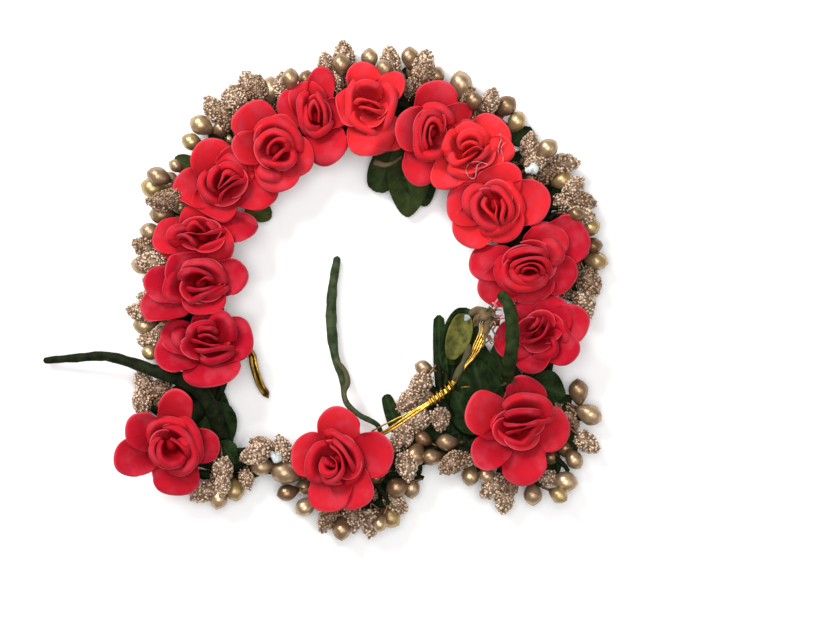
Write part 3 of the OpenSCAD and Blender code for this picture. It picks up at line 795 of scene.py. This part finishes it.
# Where each spray leaves the core, as a place on its route and a side (1 outward, 0 on top), then its
# buds: the pixel of the photograph, the kind (a small letter for a small one), the way it points, in
# degrees, and after an x how much bigger it is.
budKinds = {"S": 1.0, "D": 0.35,                               # sugared, pale and dark
            "P": None, "B": 0.22, "K": 0.5, "Y": 0.97}        # smooth: by its place, brown, pale, yellow
sprays = [
    (0.45, 1, "141,382S105 139,401S100 156,391D205"),
    (2.55, 1, "150,341S180 143,325Y180 139,312S170 149,298S170 150,353y170 160,333s190"),
    (3.50, 1, "141,265P170 150,262S175 144,248D150 149,231K170 152,280s180"),
    (4.50, 1, "160,214K175x1.1 160,201D178 152,187Y165x1.05 158,176K160 169,181P150 175,165k150 171,195d170"),
    (5.45, 1, "191,141Y155x1.05 200,124Y150x1.1 212,107S125 229,101S112 225,115D115 219,128b120"),
    (6.55, 1, "246,83S95 257,88D90 269,89P85x1.2 282,84S90 290,79K85 305,79B80 236,97S110 241,101b110"),
    (7.50, 1, "325,61s100 343,53S90 341,64P95 337,77S85 369,57P90"),
    (8.45, 1, "390,58S95 410,56K92 424,62S75 425,74D75 435,75P60 384,68p95"),
    (9.50, 1, "462,84K98x1.2 470,97d70 484,106k115 491,99S72x0.85 506,105B42 517,121Y58 474,101p95"),
    (10.70, 1, "531,143S80 540,155S45 547,149K40 567,162S2 549,170D30 563,180Y10 575,187S50 536,163s30"),
    (12.20, 1, "568,201S0 583,201D350 582,215S355 590,227Y20 593,245P0 597,260Y345 592,281D300 586,304S290 575,214p0"),
    (14.70, 1, "580,393B95x1.08 590,415K333x1.2 589,444S320 575,460K305 565,483Y352x1.25 547,480s200 559,496y330 "
               "534,495K270x1.05 505,503S264 494,489S215 511,489d260"),
    (15.85, 0, "487,476k300 471,476Y262 462,460S200 452,464D215 448,443P180"),
    (16.70, 0, "433,458B185 416,455K250 407,467S280 401,440S240 411,488K275 424,440b150"),
    (17.70, 1, "398,488B200 396,505S315 389,519Y320 380,524p250 370,525S270x1.05 352,520S280 341,530B270 328,520D240 "
               "305,508K215 287,494B195"),
    (19.20, 0, "285,474B162x1.28 282,449S110 262,467P185 261,447S150 254,455S195 245,481s280"),
    (19.90, 1, "233,491Y280 222,472S275 222,486s270 217,499K260 202,494S205"),
]


def budOutline(kind):
    t = np.linspace(0, 1, 10 if kind in "SD" else 13)
    if kind in "SD":
        wide = np.sin(math.pi * np.minimum(t * 0.90 + 0.08, 1) ** 0.86) ** 0.70
        return np.column_stack([wide * buds["sugarWide"] / 2 / wide.max(), t * buds["sugarLong"]])
    # narrow at the stalk, round and wide further out, with a small nib
    wide = np.sin(math.pi * t ** 1.22) ** 0.66 * (0.82 + 0.18 * t) + 0.12 * (1 - t) ** 2
    wide[-1] = 0.05
    return np.column_stack([wide * buds["smoothWide"] / 2 / wide.max(), t * buds["smoothLong"]])


def grainDome():
    # The outer part of one grain, six-sided, on +Z.
    rings = [pointing(a, lift) for lift in (-0.3, 0.62) for a in ringOf(6)]
    faces = [[j, (j + 1) % 6, 6 + (j + 1) % 6, 6 + j] for j in range(6)]
    return np.array([*rings, [0, 0, 1]]), faces + [[6 + j, 6 + (j + 1) % 6, 12] for j in range(6)]


domePoints, domeFaces = grainDome()


def addSugar(heap, rng, foot, direction, size, tone):
    # Grains set all over a bud in a spiral, each a little out of line.
    outline = budOutline("S") * size
    body, faces = lathe(outline * [0.93, 1], 12)
    # the body under the grains takes painted shade
    heap.add(foot + turned(body, direction), faces, 1, 0.7, 0.3 * tone)
    number = buds["grains"]
    band = np.hypot(*np.diff(outline, axis=0).T) * (outline[1:, 0] + outline[:-1, 0] + 0.3)
    area = np.concatenate([[0], np.cumsum(band)])
    place = (np.arange(number) + 0.5) / number * area[-1]
    wide, high = np.interp(place, area, outline[:, 0]), np.interp(place, area, outline[:, 1])
    slope = np.clip(np.gradient(wide) / (np.gradient(high) + 1e-9), -3, 3)
    turn = np.arange(number) * buds["spiral"] + rng.normal(0, 0.28, number)
    normal = unit(np.column_stack([np.cos(turn), np.sin(turn), -slope]))
    centre = np.column_stack([wide * np.cos(turn), wide * np.sin(turn), high + rng.normal(0, 0.22, number)])
    grain = buds["grain"] * rng.uniform(0.62, 1.22, number) * size
    side = unit(np.cross(normal, [0.31, 0.17, 0.93]))
    axes = np.stack([side, np.cross(normal, side), normal], 1)
    points = centre[:, None] + grain[:, None, None] * np.einsum("pk,nkc->npc", domePoints, axes)
    every = [[i + n * len(domePoints) for i in face] for n in range(number) for face in domeFaces]
    # each grain's lower rim, where it meets the body, takes painted shade
    low = np.tile(domePoints[:, 2] < 0, number)
    heap.add(foot + turned(points.reshape(-1, 3), direction), every, 1, low * 0.55,
             np.repeat(rng.uniform(0, 1, number) * tone, len(domePoints)))


def addSmooth(heap, rng, foot, direction, size, tone):
    body, faces = lathe(budOutline("P") * size, 18)
    pinch = 1 - 0.045 * np.cos(2 * np.arctan2(body[:, 1], body[:, 0]) + rng.uniform(0, 6))
    body[:, :2] *= pinch[:, None]
    low = np.clip(1 - body[:, 2] / (0.30 * buds["smoothLong"]), 0, 1)
    if tone is None:        # they go from pale to brown, left to right
        tone = 0.5 - foot[0] / 190 - (0.12 if foot[1] < -35 else 0)
    points = foot + turned(body, direction)
    # painted shade: the further a point lies below the bud's middle, the darker it is
    under = (foot + direction * buds["smoothLong"] * size / 2)[2] - points[:, 2]
    darkened = np.clip(0.5 + under / (buds["smoothWide"] * size), 0, 1) * buds["edge"]
    heap.add(points, faces, 0, np.maximum(low, darkened), np.clip(rng.normal(tone, 0.1), 0, 1))


def addBud(heap, rng, kind, root, centre, out, size):
    # out is the way it points; the stalk bends from its root to the bud's foot
    sugared = kind in "SD"
    foot = centre - out * buds["sugarLong" if sugared else "smoothLong"] * size * 0.5
    bend = foot - out * min(4.0, 0.5 * np.linalg.norm(foot - root))
    path = spline([root, root + 0.45 * (bend - root) + [0, 0, 0.4], bend, foot + out * 0.6], 4)
    heap.add(*tube(path, buds["stalk"], 6), 2, 0, rng.uniform(0, 1))
    bound = path[: int(len(path) * 0.8)]
    heap.add(*tube(bound, np.linspace(1.25, 0.6, len(bound)), 8), 3, 0.4)
    (addSugar if sugared else addSmooth)(heap, rng, foot, out, size, budKinds[kind])


corePath = spline(coreRoute, 50, True)


def coreAt(place):
    k = round(place * 50)
    along = unit(corePath[(k + 1) % len(corePath)] - corePath[(k - 1) % len(corePath)])
    return corePath[k % len(corePath)], np.array([-along[1], along[0]])


def clearHeight(x, y, placed, rng, levels, always):
    # The lowest height that is clear of the core and of the buds before it.
    fromCore = np.linalg.norm(corePath - [x, y], axis=1).min()
    best, room = None, -1.0
    for height in levels:
        if math.hypot(fromCore, height - 3) < buds["offCore"]:
            continue
        centre = np.array([x, y, height + rng.uniform(-0.2, 0.2)])
        nearest = min([np.linalg.norm(centre - other) for other in placed], default=99)
        if nearest > buds["apart"]:
            return centre
        if nearest > room:
            best, room = centre, nearest
    return best if always else None


def readBud(item):
    kind = next(letter for letter in item if letter.isalpha())
    place, heading = item.split(kind)
    heading, _, grown = heading.partition("x")
    size = float(grown) if grown else buds["small"] if kind.islower() else 1.0
    return (*pixels(place)[0], kind.upper(), size, math.radians(float(heading)))


def buildSpray(index, placed):
    place, side, text = sprays[index]
    rng = np.random.default_rng(300 + index)
    here, out = coreAt(place)
    bar = np.array([*(here + side * buds["bar"] * out), buds["barHeight" if side else "barHeightInside"]])
    along = np.array([-out[1], out[0], 0.0])
    heap = Heap()
    rows = [readBud(item) for item in text.split()]
    for x, y, kind, size, heading in list(rows):      # a dark leaf, partly a real leaf and partly a dark sheet standing in for the shade between the buds, and two shorter buds lie under each
        reach = np.array([x, y]) - bar[:2]
        addLeaf(heap, rng, bar - [0, 0, buds["leafDrop"]], math.degrees(math.atan2(reach[1], reach[0])), -3,
                buds["leafReach"] * np.linalg.norm(reach), buds["leafWide"], 0.0, 4, 0.5, 0.0, (12, 5))
        for share in buds["fillerReach"]:
            near = bar[:2] + (share + rng.uniform(-0.08, 0.08)) * reach + rng.normal(0, 1.2, 2)
            rows.append((*near, "DP"[rng.integers(2)], buds["filler"], heading + rng.normal(0, 0.3)))
    half = buds["barGap"] * (len(rows) / 3 - 1) / 2
    order = np.argsort(np.argsort([(np.array(row[:2]) - bar[:2]) @ along[:2] for row in rows]))
    for (x, y, kind, size, heading), rank in zip(rows, order):
        filler = size == buds["filler"]
        levels = buds[("under" if side else "underInside") if filler else "levels"]
        centre = clearHeight(x, y, placed, rng, levels, not filler)
        if centre is None:
            continue
        placed.append(centre)
        rise = math.radians(rng.uniform(2, 10)) + 0.03 * (centre[2] - buds["levels"][0])
        root = bar + along * (rank * buds["stalkGap"] - half)
        addBud(heap, rng, kind, root, centre, pointing(heading, rise), size * rng.uniform(0.92, 1.08))
    binding = bar + along * np.linspace(-half - buds["barPast"], half + buds["barPast"], 30)[:, None]
    heap.add(*tube(binding, buds["barRadius"] + 0.15 * np.sin(np.arange(30) * 2.4), 10), 3, 0.2)
    name = "spray_%02d" % (index + 1)
    makePiece(name + "_buds", heap, [smoothFinish, sugarFinish, stalkFinish, tapeFinish, leafFinish],
              [name])


placedBuds = []
for index in range(len(sprays)):
    buildSpray(index, placedBuds)
print("sprays made")


# Leaves

# foot in millimetres, heading and rise in degrees, length and width, olive tint, then what addLeaf takes
leaves = [
    ("leaf_01", [((10.5, 44.0, 3.6), 245, 2, 14.6, 10.5, 0.06, 0, 0.35),
                 ((14.2, 45.5, 4.0), 270, 1, 22.6, 13.5, 0.1, 0, 0.62),
                 ((15.0, 44.0, 3.2), 285, 2, 18.4, 11.5, 0.0, 0, 0.62)]),
    ("leaf_02", [((26.8, -42.6, 4.6), 95, 5, 35.8, 4.4, 0.0, 0, 0.18), ((35, -43, 6.6), 118, 4, 15, 8, 0.0)]),
    ("leaf_03", [((40.0, -38.5, 4.8), 108, 6, 20, 13, 0.0), ((43.0, -36.0, 4.2), 140, 3, 19, 10, 0.0),
                 ((46.5, -34.0, 5.2), 108, 4, 19, 10, 0.0), ((24.5, -34.0, 4.0), 235, 0, 14, 9, 0.0),
                 ((31.0, -42.0, 4.4), 190, 0, 16, 8, 0.0),
                 ((32.4, -4.9, 9.6), 251, -10, 18.5, 10.4, 0.0, 0, 0.45, 0.2),
                 ((31.6, -6.6, 11.2), 252, -8, 14.8, 7.4, 0.9, 0, 0.5, 0.25),
                 ((27.6, -32.0, 3.8), 86, 0, 13, 7, 0.0), ((37.4, -30.5, 4.0), 101, 2, 19, 9.5, 0.0)]),
    ("leaf_04", [((51.5, -27.5, 7.2), 340, 4, 11, 11, 0.0), ((54.5, -34.0, 3.6), 302, 1, 19, 10, 0.0, 0, 0.5)]),
    ("leaf_05", [((13.4, -45.4, 4.6), 112, 5, 15.4, 4.8, 0.0, 0, 0.3)]),
    ("leaf_06", [((-42.6, -45.4, 7.2), 306, 10, 8, 7, 0.0), ((-42.0, -45.5, 3.0), 98, 2, 20, 8.5, 0.0),
                 ((-43.0, -33.0, 4.5), 282, 2, 14, 8, 0.0), ((-44.5, -34.5, 3.2), 240, 1, 13, 7.5, 0.0),
                 ((-50.5, -29.0, 3.6), 208, 1, 12, 7, 0.0)]),
    ("inner_leaves", [((-34.5, 26.2, 5.0), 335, -4, 8.2, 7.0, 0.3, 0, 0.5)]),
    ("outer_leaves", [((-49.0, 36.5, 6.0), 150, 6, 8.2, 6.5, 0.12, 0, 0.5), ((31.0, 54.0, 4.2), 70, 2, 6.5, 6, 0.0),
                      ((46.0, 45.0, 4.2), 40, 2, 7.5, 6, 0.0), ((57.0, 28.0, 4.2), 10, 2, 8, 7, 0.0)]),
]
bareStalk = ("374,160 382,163 388,163 395,160 402,155", [4.4, 4.7, 4.9, 5.2, 5.8])

for index, (name, blades) in enumerate(leaves):
    heap = Heap()
    rng = np.random.default_rng(500 + index)
    for blade in blades:
        addLeaf(heap, rng, *blade)
    if name == "leaf_01":       # the bare end of its stalk
        stalk = spline(onRoute(*bareStalk), 6)
        heap.add(*tube(stalk, np.linspace(1.1, 0.4, len(stalk)), 8), 1, 0, 0.45)
    replaced = [name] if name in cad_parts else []
    makePiece(name + "_blade", heap, [leafFinish, knotFinish], replaced)
print("leaves made")


# Stems and wires

stem = {"turnLength": 4.2, "ridge": 0.10, "gap": 0.45, "sides": 14}
# the route of each, its radius at places spread evenly along it, and its finish
stems = {
    "left_stem": ([(-42, -43.5, 3.4), (-44, -37, 7), (-48, -30, 10), (-54, -26.3, 11), (-60, -24.4, 11),
                   (-68, -21.6, 9.4), (-77, -19.4, 7), (-87, -20, 4.4), (-96.5, -20.8, 2.2)],
                  [2.4, 2.4, 2.3, 2.0, 1.7, 1.5, 1.3, 1.0], tapeFinish),
    "middle_stem": ([(6.4, -45, 5), (5.2, -40.2, 8.2), (-0.4, -37.0, 8.8), (-4.4, -33, 8), (-5.4, -27, 6.4),
                     (-7.7, -19.5, 4.6), (-8.8, -11, 3.4), (-8.9, -3, 2.6), (-8.2, 4, 2.2), (-7, 11, 2)],
                    [0.8, 0.8, 0.85, 0.9, 1.2, 1.65, 1.6, 1.35, 1.15], fadedFinish),
    "right_stem": ([(49.5, -32.5, 8.7), (46.4, -30, 9.8), (44.4, -27, 11.8), (44.2, -23.2, 18.6),
                    (45.0, -18.5, 23), (45.4, -13.8, 24.2), (45.2, -8.5, 24.6), (44.2, -4, 24.4),
                    (41.6, 0.0, 23.4)],
                   [0.9, 1.3, 2.0, 2.15, 2.1, 2.1, 1.9, 1.6], freshFinish),
}
# the loose end of tape that crosses over the middle stem, and where the right one's tape has come
# loose below: pixels of the photograph, and the height at each
looseTape = ("335,360 341,367 346,375 347,384 344,393 346,404", [6.4, 7.2, 7.5, 7.8, 8.4, 8.8])
tornEnd = ("503,372 507,374 511,372", [14.6, 15.2, 14.6])


def taped(heap, route, radii, finish=0, twist=0.0):
    # A stem wound in tape, thin at its rounded tip.
    path, along = evenly(spline(route, 12), stem["gap"])
    left = np.clip((along[-1] - along) / radii[-1], 0, 1)
    radius = alongPath(radii, path)[:, 0] * (0.15 + 0.85 * np.sqrt(1 - (1 - left) ** 2))
    angle = ringOf(stem["sides"])
    ridge, grooveShade = wound(along / stem["turnLength"], angle)
    section = 1 + stem["ridge"] * (ridge - 0.5) + 0.05 * np.sin(along[:, None] * 0.9 + 2 * angle)
    heap.add(*tube(path, radius, stem["sides"], section), finish, [*grooveShade.ravel(), 0, 0], twist)


fray = {"points": 9, "scatter": 0.7, "curl": 1.2, "long": (0.4, 1.1), "rise": (-0.3, 0.8), "twist": 0.6,
        "half": (0.12, 0.32), "thick": 0.12}


def addFrays(heap, rng, places, number, long, heading, spread, finish=1):
    # Torn strips of tape, each from one of the places, curling off round a heading in degrees.
    n = fray["points"]
    for _ in range(number):
        x, y, z = places[rng.integers(len(places))] + rng.normal(0, fray["scatter"], 3) * [1, 1, 0.5]
        turn = math.radians(heading + rng.uniform(-spread, spread)) + np.linspace(0, rng.normal(0, fray["curl"]), n)
        step = long * rng.uniform(*fray["long"]) / n
        flat = np.cumsum(step * np.column_stack([np.cos(turn), np.sin(turn)]), axis=0) + [x, y]
        path = np.column_stack([flat, z + rng.uniform(*fray["rise"]) * np.linspace(0, 1, n)])
        across = np.column_stack([-np.sin(turn), np.cos(turn), rng.normal(0, fray["twist"], n)])
        across = across * rng.uniform(*fray["half"])
        strip, faces = shell(np.stack([path - across, path, path + across], 1), fray["thick"])
        heap.add(strip, faces, finish, 0, rng.uniform(0.0, 0.9 if finish else 0.3))


def buildStem(name):
    route, radii, finish = stems[name]
    heap = Heap()
    taped(heap, route, radii)
    if name == "middle_stem":
        taped(heap, onRoute(*looseTape), [0.5, 0.8, 0.85, 0.75, 0.5], 0, 0.3)
    if name == "right_stem":
        addFrays(heap, np.random.default_rng(640), onRoute(*tornEnd), 14, 3.8, -88, 14, 0)
    makePiece(name + "_winding", heap, [finish], [name])


wire = {"thick": 0.72, "doubled": 1.3, "apart": 0.62, "sides": 8}
# pixels of the photograph, and the height at each
leftWire = ("241,346 250,355 252,365 255,376 259,387 264,395", [3.6, 4.4, 4.4, 3.8, 2.6, 1.4])
rightWire = {
    "route": ("500,322 486,322 483,334 477,347 471,358 465,365 459,374 449,388 437,397 426,405 414,413 400,423 "
              "388,431 374,438", [8, 11.4, 12.3, 13, 12.6, 12.4, 12.8, 14.2, 14.2, 14, 13.6, 13, 12.2, 10.6]),
    # four strands side by side go under the wrap, and three come out and part: how far each lies to
    # the side, then its thickness, how far it has dulled and where it ends
    "strands": [([1.1, 1.1, 1.1, 1.1, 0.5, 0.4, 0.4, 0.5, 0.5, 0.5, 0.7, 1.6, 2.2, 2.0], 0.5, 0.15, None),
                ([0.4, 0.4, 0.4, 0.4, 0.3, 0.2, 0.2, 0.1, 0.2, 0.2, 0.3, 0.5, 0.4, 0.3], wire["thick"], 0.0, None),
                ([-0.3, -0.3, -0.3, -0.3, -0.3, -0.3, -0.2, -0.2, -0.3, -0.4, -0.4, -0.3, -0.3],
                 wire["thick"], 0.0, None),
                ([-1.0, -1.0, -1.0, -1.0, -0.5, -0.4, -0.4, -0.5, -0.5], wire["thick"], 0.2, 120)],
    # the wrap: each coil's route, radius, turns, thickness and how far it has dulled
    "coils": [("452,384 448,388 443,393", [14.2, 14.3, 14.3], 1.4, 2.3, 1.0, 0.75),
              ("443,393 437,397 430,402", [14.3, 14.3, 14.1], 1.2, 3.4, 1.0, 0.1)],
    "end": ("461,388 465,387 470,387", [10.6, 11.0, 10.6]),
    # tape twisted round it: the route, the radii, the finish and how brown it is
    "twists": [("470,345 468,352 465,359 462,365 458,373 453,381", [12.6, 14.4, 14.9, 14.9, 14.8, 14.2],
                [0.5, 1.0, 1.1, 0.7, 1.1, 1.0, 0.6], 2, 0.3),
               ("471,313 479,311 487,315 488,325 484,335", [11.0, 13.5, 14.2, 13.4, 12.8],
                [1.0, 1.4, 1.7, 1.5, 0.9], 1, 0.35),
               ("492,308 486,316 478,318 476,326", [15.5, 15.4, 14.0, 12.0], [0.7, 1.1, 1.2, 0.7], 1, 0.5)],
    # torn strips: their places, number, length, heading, how far they spread, and the finish
    "frays": [("484,314 488,322 480,318 492,312 486,308", [16, 15.4, 14.6, 16.2, 16.2], 30, 3.2, -60, 130, 1),
              ("488,308 492,314 490,322", [15.6, 15.8, 15.0], 9, 3.2, 10, 60, 3),
              ("482,336 486,342 488,332", [13.4, 12.8, 13.6], 10, 3.8, -80, 30, 1)],
}


def strand(heap, path, side, offsets, thick, darkened=0.0):
    # One wire beside a path; offsets are sideways, at places spread evenly along it.
    heap.add(*tube(path + alongPath(offsets, path) * side, thick / 2, wire["sides"]), 0, 0, darkened)


def coil(heap, path, radius, turns, thick, darkened):
    path = evenly(path, 0.2)[0]
    angle = np.linspace(0, 2 * math.pi * turns, len(path))[:, None]
    around = np.cos(angle) * sideOf(path) + np.sin(angle) * [0, 0, 0.7]
    heap.add(*tube(path + radius * around, thick / 2, 6), 0, 0, darkened)


def buildLeftWire():
    # one dull wire bent back on itself, with thinner bright ones laid along it
    heap = Heap()
    path = spline(onRoute(*leftWire), 10)
    side = sideOf(path)
    apart = wire["apart"] * np.interp(np.linspace(0, 1, len(path)), [0, 0.3, 0.75, 1], [0.8, 1, 1, 0.8])[:, None]
    bend = path[-1] + [0.4, -0.9, 0.0]
    loop = np.concatenate([path + apart * side, [bend], (path - apart * side)[::-1]])
    heap.add(*tube(loop, wire["doubled"] / 2, 9), 0, 0, 0.85)
    for first, last, lift, offsets, thick, darkened in (
            (4, -6, 0.75, [-0.4, -0.7, -0.8, -0.5], 0.8, 0.0), (-24, -3, 0.5, [0.5, 0.9, 0.6], 0.6, 0.0),
            (0, -3, 0.4, [0.6, 0.2, 0.3, 0.2], 0.5, 0.5)):
        strand(heap, path[first: last] + [0, 0, lift], side[first: last], offsets, thick, darkened)
    makePiece("left_gold_wire_strands", heap, [wireFinish], ["left_gold_wire"])


def buildRightWire():
    heap = Heap()
    rng = np.random.default_rng(650)
    path = spline(onRoute(*rightWire["route"]), 14)
    side = sideOf(path)
    for offsets, thick, darkened, end in rightWire["strands"]:
        strand(heap, path[:end], side[:end], offsets, thick, darkened)
    for places, heights, *rest in rightWire["coils"]:
        coil(heap, spline(onRoute(places, heights), 8), *rest)
    strand(heap, spline(onRoute(*rightWire["end"]), 6), np.zeros(3), [0, 0], 0.5)
    for places, heights, *rest in rightWire["twists"]:
        taped(heap, onRoute(places, heights), *rest)
    for places, heights, *rest in rightWire["frays"]:
        addFrays(heap, rng, onRoute(places, heights), *rest)
    makePiece("right_gold_wire_strands", heap, [wireFinish, knotFinish, fadedFinish, threadFinish],
              ["right_gold_wire"])


for name in stems:
    buildStem(name)
buildLeftWire()
buildRightWire()
print("stems and wires made")


# The tied spray, under the wire's wrap

tied = {"knot": (24.5, -32.4, 9.4), "foot": (31, -42.2, 4.4),
        "buds": "424,368k163 420,385S228 408,402S222 428,398s215 419,422S238 441,420S262x0.9",
        "heights": [9, 10.4, 7.5, 7, 6.6, 8]}


def buildTiedSpray():
    rng = np.random.default_rng(700)
    heap = Heap()
    knot = np.array(tied["knot"])
    for item, height in zip(tied["buds"].split(), tied["heights"]):
        x, y, kind, size, heading = readBud(item)
        out = unit(np.array([math.cos(heading), math.sin(heading), 0.02]))
        addBud(heap, rng, kind, knot, np.array([x, y, height]), out, size)
    bound = spline([tied["foot"], knot + [0.6, -1.2, -1.0], knot + [-0.4, 0.8, 0.4]], 8)
    heap.add(*tube(bound, 1.2, 8), 3, 0.3)
    makePiece("tied_spray_buds", heap, [smoothFinish, sugarFinish, stalkFinish, tapeFinish],
              ["tied_spray"])


buildTiedSpray()
print("tied spray made")


# Dried glue: threads and blobs, by pixels of the photograph

glue = {"thread": 0.28, "feel": 0.9, "lift": 0.25, "blobFeel": 1.2, "blobLift": 0.2,
        "threads": ["488,165 482,163 475,162 469,164 466,169 467,174 470,178 475,178 476,172 477,166 481,163",
                    "506,142 502,146 501,151 503,156 503,162", "500,134 501,140 499,145 498,150 499,155"],
        # middle, long, wide, heading
        "blobs": [(275, 457, 4.4, 3.0, -35), (532, 169, 4.2, 3.0, 15), (467, 318, 2.2, 1.8, 60)]}


def buildGlue():
    heap = Heap()
    for route in glue["threads"]:
        flat = evenly(spline(pixels(route), 10), 0.5)[0]
        high = np.array([topAt(x, y, glue["feel"]) for x, y in flat])
        high = np.convolve(np.pad(high, 2, "edge"), np.full(5, 0.2), "valid")       # it hangs smoothly
        heap.add(*tube(np.column_stack([flat, high + glue["lift"]]), glue["thread"] / 2, 6))
    for x, y, long, wide, heading in glue["blobs"]:
        angle = np.linspace(0, math.pi, 12)
        points, faces = lathe(np.column_stack([np.sin(angle) * 0.5 + 0.02, -np.cos(angle) * 0.5]), 16)
        points[:, 1] *= 1 + 0.3 * np.sin(7 * points[:, 0])
        along, across, high = (points * [long, wide, 0.6 * wide]).T
        blob = np.column_stack([*swung(along, across, math.radians(heading)), high])
        flat = fromPhoto(x, y)
        heap.add(blob + [*flat, topAt(*flat, glue["blobFeel"]) + glue["blobLift"]], faces, 1)
    makePiece("glue", heap, [threadFinish, glueFinish])


buildGlue()
print("glue made")


# Camera, floor and light

lamps = {       # place in metres, width, power
    "key": ((-0.47, 0.60, 0.64), 0.42, 10),
    "fill": ((0.65, -0.25, 0.70), 0.8, 1.6),
    "top": ((0.0, 0.0, 1.3), 1.0, 12.5),
}
studio = {"white": (1, 1, 1, 1), "strength": 0.26, "floorHalf": 1.6, "aim": (0, 0, 0.01)}


def addCamera():
    data = bpy.data.cameras.new("camera")
    data.sensor_width = view["sensor"]
    data.lens = view["sensor"] * view["distance"] / (view["width"] * view["pixel"])
    data.clip_end = 10
    camera = put("camera", data)
    x, y = fromPhoto(view["width"] / 2, view["height"] / 2)
    camera.location = (x * mm, y * mm, (view["distance"] + view["focusHeight"]) * mm)
    bpy.context.scene.camera = camera


def addLamp(name, place, size, power):
    data = bpy.data.lights.new(name, "AREA")
    data.shape, data.size, data.energy = "DISK", size, power
    lamp = put(name, data)
    lamp.location = place
    toward = np.array(studio["aim"]) - place
    lamp.rotation_euler = (math.acos(-toward[2] / np.linalg.norm(toward)), 0,
                           math.atan2(toward[1], toward[0]) + 1.5 * math.pi)


def addFloor():
    half = studio["floorHalf"]
    mesh = bpy.data.meshes.new("floor")
    mesh.from_pydata([(-half, -half, 0), (half, -half, 0), (half, half, 0), (-half, half, 0)], [], [(0, 1, 2, 3)])
    mesh.materials.append(plainPaper())
    put("floor", mesh)


def addWorld():
    world = bpy.data.worlds.new("studio")
    world.use_nodes = True
    background = world.node_tree.nodes["Background"]
    background.inputs["Color"].default_value = studio["white"]
    background.inputs["Strength"].default_value = studio["strength"]
    bpy.context.scene.world = world


addCamera()
addFloor()
for name, lamp in lamps.items():
    addLamp(name, *lamp)
addWorld()
bpy.context.scene.view_settings.view_transform = "Standard"
print("camera, floor and light made")
